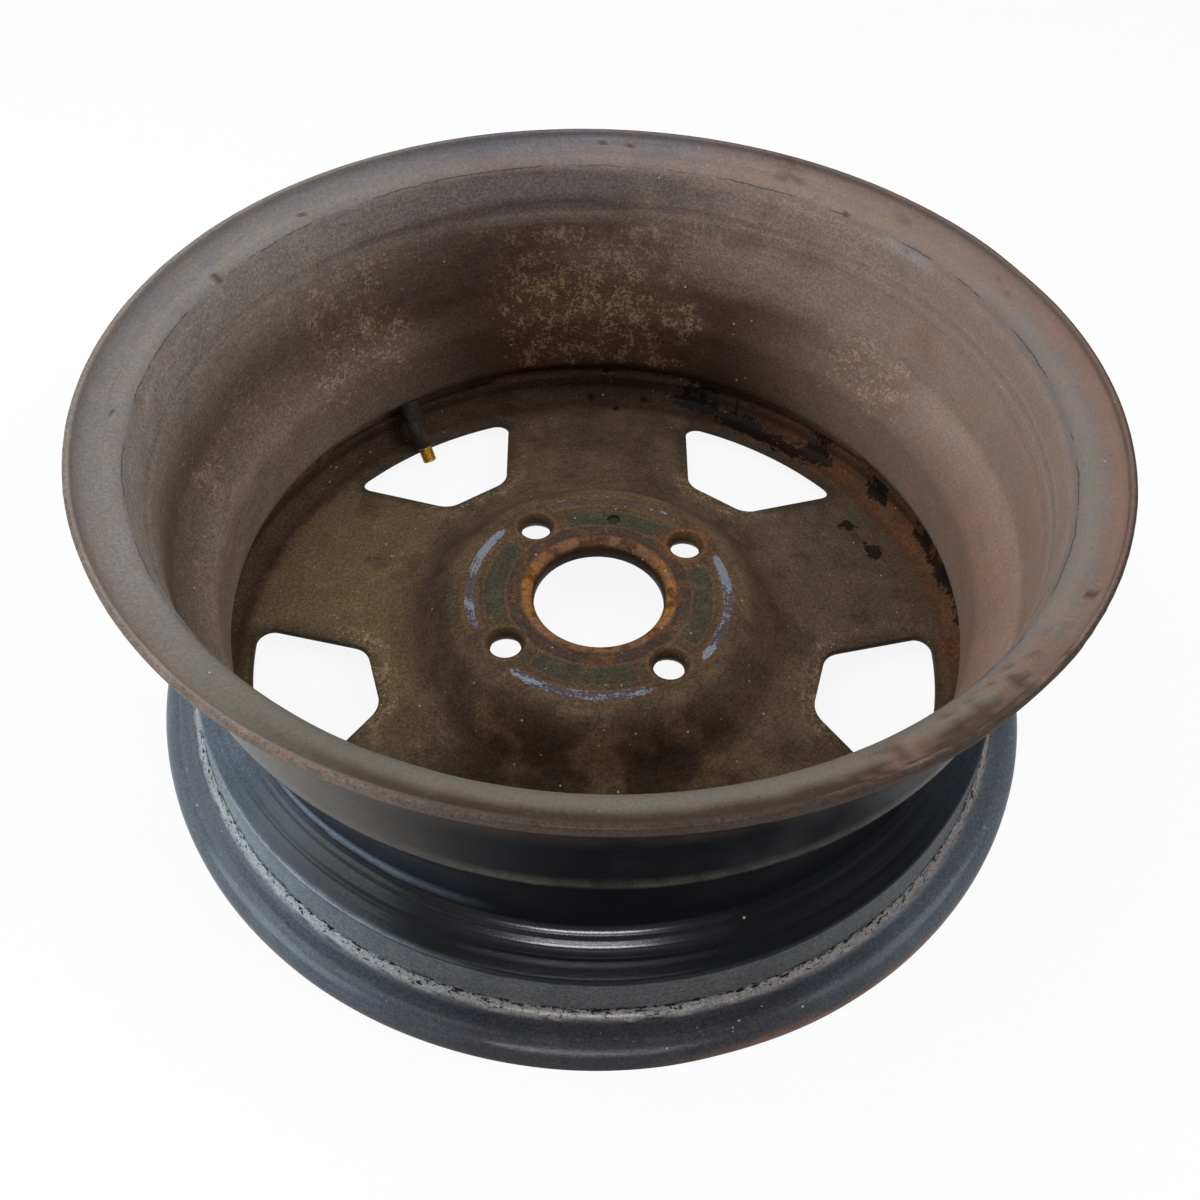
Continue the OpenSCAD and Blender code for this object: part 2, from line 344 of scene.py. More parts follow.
def set_coordinates(piece, points):
    piece.data.vertices.foreach_set("co", (points * MM).astype(np.float32).ravel())
    piece.data.update()


# Masks over points
def smooth(value, low, high):
    t = np.clip((value - low) / (high - low), 0, 1)
    return t * t * (3 - 2 * t)


def between(value, low, high, soft):
    return smooth(value, low - soft, low + soft) * (1 - smooth(value, high - soft, high + soft))


def turn_from(angle, centre):
    """Degrees from a direction, from 0 to 180."""
    return np.abs((angle - centre + 180) % 360 - 180)


def cloud(points, size, seed, octaves=3):
    """Soft random values about 0 at points in millimetres, with lumps of the given size."""
    shift = Vector((13.1 * seed, 7.7 * seed, 3.3 * seed))
    return np.array([noise.fractal(Vector(p) / size + shift, 1, 2, octaves) for p in points])


class Coat:
    """Colour and wear of a piece's points, kept as attributes that its material reads.

    wave and ripple are soft random values, each written as a size, a seed and a number of octaves.
    """

    MARKS = ("paint", "dust", "wear", "gloss")

    def __init__(self, piece, base, wave, ripple):
        self.piece = piece
        self.points = coordinates(piece)
        self.plan = self.points[:, :2]
        self.z = self.points[:, 2]
        self.r = np.hypot(*self.plan.T)
        self.angle = np.degrees(np.arctan2(self.points[:, 1], self.points[:, 0])) % 360
        self.wave, self.ripple = (cloud(self.points, *lumps) for lumps in (wave, ripple))
        count = len(self.points)
        self.tone = np.tile(np.array(colour(base)), (count, 1))
        self.marks = {name: np.zeros(count) for name in self.MARKS}
        self.along = np.zeros(count)
        self.specks = np.full(count, 0.02)
        self.grit = np.ones(count)

    def towards(self, centre, fade, full, shift=0):
        """Mask that is full within some degrees of a direction and fades out further away."""
        return smooth(turn_from(self.angle, centre) + shift, fade, full)

    def arc_from(self, centre):
        """Distance round the axle line from a direction."""
        return np.radians(turn_from(self.angle, centre)) * self.r

    def plan_from(self, ring_r, centre):
        """Distance in plan from the place at a radius and a direction."""
        return np.hypot(*(self.plan - on_ring(ring_r, centre)).T)

    def paint(self, mask, code):
        self.tone += mask[:, None] * (np.array(colour(code)) - self.tone)

    def mark(self, name, mask, amount=1.0):
        self.marks[name] += mask * (amount - self.marks[name])

    def store(self):
        mesh = self.piece.data
        ones = np.ones((len(self.tone), 1))
        tone = mesh.attributes.new("tone", "FLOAT_COLOR", "POINT")
        tone.data.foreach_set("color", np.hstack([self.tone, ones]).astype(np.float32).ravel())
        marks = mesh.attributes.new("marks", "FLOAT_COLOR", "POINT")
        values = np.stack([self.marks[name] for name in self.MARKS], 1)
        marks.data.foreach_set("color", values.astype(np.float32).ravel())
        for name, values in (("along", self.along * MM), ("specks", self.specks), ("grit", self.grit)):
            stored = mesh.attributes.new(name, "FLOAT", "POINT")
            stored.data.foreach_set("value", values.astype(np.float32))


def colour(code):
    """A colour written as six hexadecimal digits, as linear values."""
    parts = [int(code[i:i + 2], 16) / 255 for i in (0, 2, 4)]
    return tuple(c / 12.92 if c <= 0.04045 else ((c + 0.055) / 1.055) ** 2.4 for c in parts)


# Colours of old paint, rust and dust
CURL_GREY = "6c6a70"
TAN = "726a66"
LEFT_LIT_GREY = "7f7b78"
SEAT_GREY = "6a6462"
GROOVE_GREY = "564d4c"
RIDGE_BROWN = "645a53"
UMBER = "473a33"
LEFT_BROWN = "5f544a"
RUST_BROWN = "978377"
RUST_ORANGE = "7a5238"
EDGE_BROWN = "40362f"
OLIVE_GREY = "676258"
SCALE_PINK = "7c6357"
BLACK_PAINT = "0a0b0f"
BLUE_BLACK = "2a2c33"
WORN_PAINT = "323236"
STREAK_GREY = "505152"
FLAKED = "777473"
DISC_BROWN = "5c4e40"
DISC_SHADE = "261d16"
DUST_TAN = "9a8062"
PALE_DUST = "b3a48c"
PANEL_GREEN = "414034"
PURPLE_BROWN = "483a33"
SILVER = "8b939d"


class Tree:
    """A material's node tree, with short calls for the nodes used here."""

    def __init__(self, name):
        self.material = bpy.data.materials.new(name)
        self.material.use_nodes = True
        self.tree = self.material.node_tree
        self.shader = self.tree.nodes["Principled BSDF"]
        self.place = self.add("ShaderNodeTexCoord").outputs["Object"]

    def plug(self, socket, value):
        """Sets or links a socket, where a text is a colour's code."""
        value = colour(value) if isinstance(value, str) else value
        if isinstance(value, bpy.types.NodeSocket):
            self.tree.links.new(value, socket)
        elif socket.type == "RGBA" and len(value) == 3:
            socket.default_value = (*value, 1)
        elif socket.type == "VECTOR" and isinstance(value, (int, float)):
            socket.default_value = (value, value, value)
        else:
            socket.default_value = value

    def add(self, kind, inputs=None, **settings):
        node = self.tree.nodes.new(kind)
        for key, value in settings.items():
            setattr(node, key, value)
        for key, value in (inputs or {}).items():
            self.plug(node.inputs[key], value)
        return node

    def surface(self, **values):
        for key, value in values.items():
            self.plug(self.shader.inputs[key.replace("_", " ")], value)

    def attribute(self, name):
        return self.add("ShaderNodeAttribute", attribute_name=name)

    def noise(self, size, detail=3, rough=0.55, place=None, warp=0):
        """Soft random values from 0 to 1, with lumps of the given size in millimetres."""
        inputs = {"Vector": place or self.place, "Scale": 1 / (size * MM)}
        inputs.update({"Detail": detail, "Roughness": rough, "Distortion": warp})
        return self.add("ShaderNodeTexNoise", inputs).outputs["Fac"]

    def math(self, operation, a, b=0.0, c=0.0):
        return self.add("ShaderNodeMath", {0: a, 1: b, 2: c}, operation=operation).outputs[0]

    def span(self, value, low, high, to_low=0.0, to_high=1.0):
        inputs = {"Value": value, "From Min": low, "From Max": high, "To Min": to_low, "To Max": to_high}
        return self.add("ShaderNodeMapRange", inputs, interpolation_type="SMOOTHSTEP").outputs[0]

    def mix(self, share, a, b):
        return self.add("ShaderNodeMix", {0: share, 6: a, 7: b}, data_type="RGBA").outputs[2]

    def scaled(self, tone, share):
        """A colour times a value."""
        return self.add("ShaderNodeVectorMath", {0: tone, 1: share}, operation="MULTIPLY").outputs[0]

    def spread(self, value, amount):
        """A random value from 0 to 1 as an amount to either side of 0."""
        return self.math("MULTIPLY", self.math("SUBTRACT", value, 0.5), amount)


def flecked(t, base, dust):
    """Tan scale in flecks that lie in clusters, and thin curly fibres."""
    cluster = t.span(t.noise(10, 4, 0.65), 0.38, 0.62, -0.05, 0.06)
    fleck = t.math("ADD", t.noise(2.2, 7, 0.72, warp=1.0), t.math("MULTIPLY_ADD", dust, 0.06, cluster))
    flecks = t.math("MULTIPLY", t.span(fleck, 0.6, 0.625), t.span(dust, 0.03, 0.6))
    curl = t.math("ABSOLUTE", t.math("SUBTRACT", t.noise(5, 2, 0.5, warp=1.8), 0.5))
    fibres = t.math("MULTIPLY", t.span(curl, 0.014, 0.005), t.span(t.noise(7, 4, 0.7), 0.5, 0.56, 0.0, 0.55))
    flecks = t.math("MAXIMUM", flecks, t.math("MULTIPLY", fibres, t.span(dust, 0.0, 0.2)))
    return t.mix(flecks, base, t.mix(0.32, t.scaled(base, 1.75), DUST_TAN)), flecks


def speckled(t, base, specks):
    """Small dark pits, and light specks of dirt."""
    pits = t.span(t.noise(2.1, 3, 0.6), 0.34, 0.28)
    base = t.mix(t.math("MULTIPLY", pits, 0.45), base, t.scaled(base, 0.35))
    cells = t.add("ShaderNodeTexVoronoi", {"Vector": t.place, "Scale": 1 / (2.3 * MM)})
    chance = t.add("ShaderNodeSeparateColor", {0: cells.outputs["Color"]}).outputs
    chosen = t.math("LESS_THAN", chance[0], specks)
    reach = t.span(chance[1], 0.0, 1.0, 0.08, 0.24)
    dot = t.math("MULTIPLY", t.math("LESS_THAN", cells.outputs["Distance"], reach), chosen)
    base = t.mix(t.math("MULTIPLY", dot, t.span(chance[2], 0.0, 1.0, 0.3, 0.95)), base, PALE_DUST)
    return base, pits, dot


def cracked(t, base, height, along, crease_at):
    """A hairline crack in the paint along a bend."""
    wander = t.spread(t.noise(11, 6, 0.7), 3.2 * MM)
    off = t.math("ABSOLUTE", t.math("SUBTRACT", t.math("ADD", along, wander), crease_at * MM))
    crack = t.math("MULTIPLY", t.span(off, 0.42 * MM, 0.15 * MM), t.span(t.noise(26, 5), 0.46, 0.54))
    base = t.mix(t.math("MULTIPLY", crack, 0.55), base, "1d1a18")
    height = t.math("MULTIPLY_ADD", crack, -0.8, height)
    return base, height


def aged_steel(name, flake_size, flake_stretch, flake_cover, crease_at=None):
    """Steel with old paint, rust, dust and bare wear, and some painted light and shade, where the piece's
    attributes put them.
    """
    t = Tree(name)
    tone = t.attribute("tone").outputs["Color"]
    marks = t.attribute("marks")
    parts = t.add("ShaderNodeSeparateColor", {0: marks.outputs["Color"]})
    paint, dust, wear = (parts.outputs[i] for i in range(3))
    gloss = marks.outputs["Alpha"]
    along = t.attribute("along").outputs["Fac"]
    specks = t.attribute("specks").outputs["Fac"]
    grit = t.attribute("grit").outputs["Fac"]

    # Coordinates that run along the rolling direction, for streaks and for flakes of paint
    lift = t.add("ShaderNodeCombineXYZ", {"Z": along}).outputs[0]
    lane, long_lane = (
        t.add("ShaderNodeVectorMath", {0: t.scaled(t.place, (k, k, 0)), 1: lift}, operation="ADD").outputs[0]
        for k in (flake_stretch, 0.05)
    )

    blotch = t.noise(17, 5, 0.6, warp=0.4)
    grain = t.noise(1.5, 5, 0.75)
    fine = t.noise(0.6, 3, 0.75)
    streak = t.noise(0.8, 4, 0.65, place=long_lane)

    # Uneven colour of rust and old paint
    shade = 1.0
    swings = ((blotch, 0.34, 0.08), (grain, 0.36, 0.24), (fine, 0.36, 0.22), (streak, 0.35, 0.08))
    for part, low, swing in swings:
        shade = t.math("MULTIPLY", shade, t.span(part, low, 1 - low, 1 - swing, 1 + swing))
    shade = t.math("ADD", t.math("MULTIPLY", t.math("SUBTRACT", shade, 1), grit), 1)
    base = t.scaled(tone, t.math("MAXIMUM", shade, 0.25))
    cool, warm = t.scaled(base, (0.97, 1.0, 1.03)), t.scaled(base, (1.05, 0.99, 0.93))
    base = t.mix(t.span(t.noise(9, 6, 0.7), 0.36, 0.64), cool, warm)

    base, flecks = flecked(t, base, dust)
    base, pits, dot = speckled(t, base, specks)

    # Paint that is left in flakes with ragged edges
    ragged = t.spread(t.noise(flake_size, 8, 0.72, place=lane, warp=0.5), 2.4)
    flake = t.span(t.math("ADD", paint, ragged), 0.47, 0.51)
    flake_tone = t.mix(t.span(streak, 0.5, 0.7, 0.0, 0.35), BLACK_PAINT, WORN_PAINT)
    base = t.mix(t.math("MULTIPLY", flake, flake_cover), base, flake_tone)

    # Bare metal where the piece rubs
    scratch = t.math("ADD", t.math("MULTIPLY", grain, 0.6), t.math("MULTIPLY", streak, 0.4))
    rubbed = t.math("ADD", wear, t.spread(scratch, 2.6))
    bare = t.math("MULTIPLY", t.span(rubbed, 0.4, 0.6), t.span(wear, 0.02, 0.3))
    base = t.mix(bare, base, t.scaled(SILVER, t.span(fine, 0.36, 0.64, 0.35, 1.15)))

    # Relief of all these
    height = t.math("MULTIPLY", grain, 0.6)
    for part, share in ((fine, 0.3), (flake, 0.35), (dot, 0.4), (flecks, 0.15), (pits, -0.4)):
        height = t.math("MULTIPLY_ADD", part, share, height)
    if crease_at is not None:
        base, height = cracked(t, base, height, along, crease_at)

    # Rust is matt, and the shine of paint that is left is a coat over it
    rough = t.math("SUBTRACT", t.span(grain, 0.3, 0.7, 0.7, 0.9), t.math("MULTIPLY", bare, 0.3))
    shine = t.math("MAXIMUM", gloss, t.math("MULTIPLY", flake, 0.06))
    shine = t.math("MULTIPLY", shine, t.span(grain, 0.35, 0.65, 1.1, 0.8))
    even = t.span(gloss, 0.1, 0.2, 0.6, 0.08)
    bump = t.add("ShaderNodeBump", {"Strength": even, "Distance": 0.3 * MM, "Height": height}).outputs[0]
    t.surface(Base_Color=base, Roughness=rough, Normal=bump, Metallic=t.math("MULTIPLY", bare, 0.5))
    t.surface(Coat_Weight=shine, Coat_Roughness=0.2, Coat_Normal=bump, Specular_IOR_Level=0.02)
    return t.material


def aged_rubber():
    t = Tree("aged_rubber")
    grain = t.noise(0.8, 4, 0.65)
    dusty = t.span(t.noise(5, 5, 0.6), 0.42, 0.7)
    base = t.mix(dusty, "241f1a", "3f352b")
    bump = t.add("ShaderNodeBump", {"Strength": 0.4, "Distance": 0.15 * MM, "Height": grain})
    rough = t.span(grain, 0.3, 0.7, 0.6, 0.85)
    t.surface(Base_Color=base, Roughness=rough, Normal=bump.outputs[0], Specular_IOR_Level=0.12)
    return t.material


def dull_brass():
    t = Tree("dull_brass")
    grain = t.noise(0.6, 4, 0.65)
    stain = t.span(t.noise(3, 5, 0.6), 0.45, 0.72)
    base = t.mix(stain, "b18c34", "604a20")
    bump = t.add("ShaderNodeBump", {"Strength": 0.25, "Distance": 0.05 * MM, "Height": grain})
    rough = t.span(grain, 0.3, 0.7, 0.32, 0.5)
    t.surface(Base_Color=base, Roughness=rough, Normal=bump.outputs[0], Metallic=0.85)
    return t.material


# Rim
rim_rows = [
    (lip_r, lip_in_z, 0),
    (lip_r, face_in_z, curl_r),
    (seat_r, face_in_z, bead_fillet),
    (hump_foot_r, hump_in_z + hump_w / 2, hump_foot_round),
    (hump_r, hump_in_z, hump_round),
    (ledge_r, hump_in_z - hump_w / 2, hump_foot_round),
    (ledge_r, ledge_z, ledge_round),
    (well_r, well_in_z, ledge_round),
    (well_r, well_out_z, well_round),
    (hump_r, hump_out_z, hump_round),
    (hump_foot_r, hump_out_z - hump_w / 2, hump_foot_round),
    (seat_r, face_out_z, bead_fillet),
    (lip_r, face_out_z, curl_r),
    (lip_r, lip_out_z, 0),
]
wall_foot = np.array([well_r, well_out_z])
wall_head = np.array([hump_r, hump_out_z])
wall_lean = math.degrees(math.atan2(wall_foot[1] - wall_head[1], wall_head[0] - wall_foot[0]))
valve_place = (wall_foot + wall_head) / 2 + valve_shift * unit(wall_foot - wall_head)


def valve_seat():
    """Places points of the valve's own axis on the well's outboard wall, with the tip downwards."""
    place = Matrix.Translation((valve_place[0], 0, valve_place[1]))
    lean = Matrix.Rotation(math.radians(wall_lean), 4, "Y")
    return np.array(Matrix.Rotation(math.radians(valve_turn), 4, "Z") @ place @ lean)


def on_valve(points):
    seat = valve_seat()
    return np.asarray(points) @ seat[:3, :3].T + seat[:3, 3]


def section_limit(p):
    """Longest stretch of the rim's section at a point: short on the grooved wall."""
    on_wall = hump_out_z + 1 < p[1] < well_out_z - 1 and p[0] < hump_r
    return wall_step if on_wall else section_step


def cut_valve_hole(piece):
    seat = Matrix(valve_seat())
    seat.translation = seat.translation * MM
    bpy.ops.mesh.primitive_cylinder_add(vertices=48, radius=valve_hole_r * MM, depth=8 * rim_sheet * MM)
    cutter = bpy.context.object
    cutter.data.transform(seat)
    cut = piece.modifiers.new("valve_hole", "BOOLEAN")
    cut.operation = "DIFFERENCE"
    cut.solver = "EXACT"
    cut.object = cutter
    bpy.context.view_layer.objects.active = piece
    bpy.ops.object.modifier_apply(modifier=cut.name)
    bpy.data.objects.remove(cutter)


def inside_limit(p):
    """Longest stretch of the section's inside at a point: short where the bends are eased."""
    return bend_step if hump_in_z - 16 < p[1] < face_in_z else section_step


def eased(path, low_z, high_z, reach):
    """The path with its bends between two heights eased over a reach to either side."""
    run = run_along(path)
    weight = np.exp(-((run[:, None] - run) / reach) ** 2) * np.gradient(run)
    soft = weight @ path / weight.sum(1)[:, None]
    share = between(path[:, 1], low_z, high_z, 2)[:, None] * (path[:, :1] < seat_r)
    return path + share * (soft - path)


def make_rim():
    path = round_path(rim_rows)[0]
    tyre_side = divided(path, section_limit)
    inside = divided(moved_path(path, rim_sheet), inside_limit)
    inside = eased(inside, hump_in_z - 12, face_in_z - 2, bend_reach)
    # Fine grooves and a slight swell that the rollers left on the wall beside the well
    on_wall = (tyre_side[:, 1] > hump_out_z + 2) & (tyre_side[:, 1] < well_out_z - 0.6)
    on_wall &= tyre_side[:, 0] < hump_r - 1
    wall = unit(wall_head - wall_foot)
    run = (tyre_side - wall_foot) @ wall
    dip = sum(groove_depth * np.exp(-((run - place) / groove_half_w) ** 2) for place in groove_places)
    dip += wall_swell * np.sin(run * 0.9) * between(run, 3, 14, 2)
    tyre_side[on_wall] += (dip[:, None] * np.array([wall[1], -wall[0]]))[on_wall]
    section = sheet_loop(tyre_side, inside, edge_round)
    points = turned(section, rim_sides)
    piece = new_piece("rolled_rim", points, rings(len(section), rim_sides, closed=True))
    cut_valve_hole(piece)
    tidy_mesh(piece)
    return piece, tyre_side, inside


def dent(points, angle, z, spread, height, push):
    """Pushes the points near a place on the rim by (outwards, upwards) millimetres."""
    direction = np.degrees(np.arctan2(points[:, 1], points[:, 0]))
    near = np.exp(-(turn_from(direction, angle) / spread) ** 2 - ((points[:, 2] - z) / height) ** 2)
    out = points[:, :2] / np.hypot(points[:, 0], points[:, 1])[:, None]
    points[:, :2] += out * (near * push[0])[:, None]
    points[:, 2] += near * push[1]


def rough_up_rim(piece):
    """Waves of the rolled sheet, a dented stretch of lip and scale on it."""
    points = coordinates(piece)
    dent(points, 311, lip_in_z, 5, 6, (-1.1, -0.9))
    dent(points, 303, lip_in_z, 3, 5, (0.3, -0.5))
    dent(points, 24, lip_in_z, 6, 6, (-0.3, -0.35))
    dent(points, 236, lip_in_z, 9, 6, (0.25, -0.3))
    dent(points, 287, lip_out_z, 7, 5, (-0.4, 0.0))
    r = np.hypot(points[:, 0], points[:, 1])
    wave = 0.12 * cloud(points, 45, 1, 2)
    lip = smooth(points[:, 2], lip_in_z - 8, lip_in_z - 1)
    angle = np.degrees(np.arctan2(points[:, 1], points[:, 0]))
    scaly = lip * (0.25 + 0.75 * between(turn_from(angle, 300), -1, 26, 8))
    wave += 0.3 * scaly * cloud(points, 5, 2, 3)
    points[:, :2] *= (1 + wave / r)[:, None]
    set_coordinates(piece, points)


def section_place(coat, tyre_side, inside):
    """Which points lie on the inside of the sheet, and how far along the section each point lies."""
    dense = [divided(path, lambda p: 1.0) for path in (tyre_side, inside)]
    tree = KDTree(sum(map(len, dense)))
    lengths = np.concatenate([run_along(path) for path in dense])
    for i, p in enumerate(np.vstack(dense)):
        tree.insert((*p, 0), i)
    tree.balance()
    found = np.array([tree.find((r, z, 0))[1] for r, z in zip(coat.r, coat.z)])
    return (found >= len(dense[0])).astype(float), lengths[found]


def coat_barrel(coat, inner, right, far, left):
    """Rust, dust and stains inside the barrel."""
    z, wave, ripple = coat.z, coat.wave, coat.ripple
    barrel = inner * (1 - smooth(z, hump_in_z - 4, hump_in_z + 1))
    coat.paint(inner, UMBER)
    coat.paint(inner * left, LEFT_BROWN)
    coat.paint(inner * right, RUST_BROWN)
    low = barrel * (1 - smooth(z + 4 * wave, -4, 34))
    # On the far side the barrel is darker low down and a little lighter high up; the low slope is lighter at
    # the left and darker at the right.
    coat.paint(barrel * far * (1 - smooth(z + 4 * wave, 54, 70)) * 0.93, "302218")
    coat.paint(low * far * 0.85, "2b1c12")
    slope = barrel * (1 - smooth(z + 4 * wave, 38, 60))
    coat.paint(slope * left * 0.5, "8a7b6f")
    coat.paint(slope * right * (1 - far) * 0.65, "735d50")
    coat.paint(barrel * far * smooth(z, 76, 94) * 0.3, "57453d")
    patches = [(92, 19, 8, 92, 0.95), (139, 12, 24, 98, 0.7), (40, 9, 34, 66, 0.75), (160, 9, 40, 74, 0.35)]
    patches += [(177, 3, 46, 62, 0.8), (192, 3.5, 42, 54, 0.6), (75, 8, 50, 90, 0.35)]
    edge = 4 * wave + 4 * ripple
    for centre, half, low_z, high_z, amount in patches:
        mask = coat.towards(centre, half * 1.15, half * 0.6, edge)
        mask = barrel * mask * between(z + 1.5 * edge, low_z, high_z, 6)
        coat.paint(mask * 0.2 * amount, "6d4f3a")
        coat.mark("dust", mask, amount)
    coat.mark("dust", barrel * (1 - coat.marks["dust"]) * smooth(wave + 0.5 * ripple, 0.1, 0.7), 0.22)
    for centre, z_at, size in ((176.5, 53.6, 4.5), (192, 48, 3.5), (135, 58, 4), (104, 74, 3)):
        away = np.hypot(coat.arc_from(centre), z - z_at)
        coat.paint(barrel * (1 - smooth(away * (1 + 0.8 * ripple), 0.5, size)) * 0.45, "8d8478")
    orange = barrel * coat.towards(340, 55, 15) * between(z + 9 * wave, 12, 104, 10)
    coat.paint(orange * 0.3, "8f6c5a")
    smear = barrel * coat.towards(32, 7, 2, 2 * ripple) * between(z + 3 * ripple, 74, 90, 3)
    coat.paint(smear * 0.25, "94654a")
    for centre, z_at, size in ((187, 114, 5), (168, 49, 8), (73, 93, 4), (340, 123, 6), (178, 70, 14)):
        away = np.hypot(coat.arc_from(centre), z - z_at)
        coat.specks += inner * 0.3 * (1 - smooth(away, 1, size))


def coat_inboard_flange(coat, inner, right, left, near):
    """Inboard bead seat, flange and lip as they show inside."""
    r, z, wave, ripple = coat.r, coat.z, coat.wave, coat.ripple
    seat = inner * between(z, hump_in_z + 5, face_in_z - 4, 4)
    coat.paint(seat * (1 - 0.75 * right), SEAT_GREY)
    # Lighter tone on the left, from the upper barrel up over the seat and flange, is painted light.
    coat.paint(inner * left * smooth(z, hump_in_z - 34, hump_in_z + 6) * 0.75, "938a82")
    groove = inner * between(z, hump_in_z - 0.5, hump_in_z + 3.5, 1)
    coat.paint(groove * (1 - 0.7 * right) * (1 - 0.75 * left), GROOVE_GREY)
    ridge = inner * between(z, hump_in_z - 6, hump_in_z - 1, 1)
    coat.paint(ridge * (1 - 0.7 * right) * (1 - 0.75 * left), RIDGE_BROWN)
    flange = inner * smooth(z, face_in_z - 6, face_in_z + 1)
    coat.paint(flange, TAN)
    coat.paint(flange * smooth(r + 0.7 * ripple, seat_r + 8, seat_r + 11.5) * 0.9, CURL_GREY)
    coat.paint(flange * right * 0.85, "80726a")
    # The left flange's lighter grey is partly painted light.
    coat.paint(flange * left * 0.85, LEFT_LIT_GREY)
    coat.paint(flange * near * 0.9, OLIVE_GREY)
    brown = coat.towards(278, 46, 20, 4 * wave)
    coat.paint(flange * brown * smooth(r + 0.8 * ripple, seat_r + 5, seat_r + 9), EDGE_BROWN)
    rosy = flange * np.maximum(left, near) * (1 - brown) * smooth(r + 0.8 * ripple, seat_r + 8, seat_r + 14)
    coat.paint(rosy * coat.towards(236, 48, 22) * 0.6, "76685e")
    tint = flange * coat.towards(350, 48, 20, 6 * wave) * smooth(r + ripple, seat_r + 8, seat_r + 12)
    coat.paint(tint * 0.5, "8b6a58")
    cool_band = flange * coat.towards(355, 50, 20, 5 * wave) * smooth(r + ripple, seat_r + 8, seat_r + 4)
    coat.paint(cool_band * 0.5, "6e6d6b")
    warm_side = flange * coat.towards(50, 45, 15, 8 * wave)
    coat.paint(warm_side * 0.25, "86685c")
    coat.grit -= flange * 0.45 * coat.grit
    coat.mark("gloss", flange, 0.04)
    coat.mark("gloss", flange * left, 0.14)
    coat.mark("dust", flange * (1 - left) * smooth(ripple, 0.0, 0.5), 0.16)
    # A light grey streak along the bend on the right is a painted highlight.
    painted_glint = inner * coat.towards(40, 7, 2) * between(z, face_in_z - 6, face_in_z - 1.5, 1)
    coat.paint(painted_glint * 0.6, "9a9794")

    # Free edge and scale of the inboard lip
    edge = smooth(z + 0.6 * ripple + 2 * near, lip_in_z - 3.6, lip_in_z - 1.6)
    coat.paint(edge * (0.15 + 0.85 * brown + 0.3 * right * (1 - brown)), EDGE_BROWN)
    coat.paint(edge * left * 0.8, "827b75")
    crust = cloud(coat.points, 5, 10, 4)
    scale = coat.towards(308, 20, 9, 5 * ripple) * smooth(z, face_in_z + 0.5, face_in_z + 3)
    coat.paint(scale * smooth(wave + crust, -0.5, 0.2) * 0.75, SCALE_PINK)
    coat.paint(scale * smooth(0.6 * crust + 0.6 * ripple, 0.1, 0.5) * 0.75, "41332b")
    scabs = [(64, 200, 5), (61, 199, 4), (45, 201, 4), (23, 199, 3)]
    for centre, ring_r, size in scabs:
        away = np.hypot(coat.arc_from(centre), r - ring_r)
        coat.paint(flange * (1 - smooth(away * (1 + 1.2 * ripple), 1, size)) * 0.4, "4a3831")


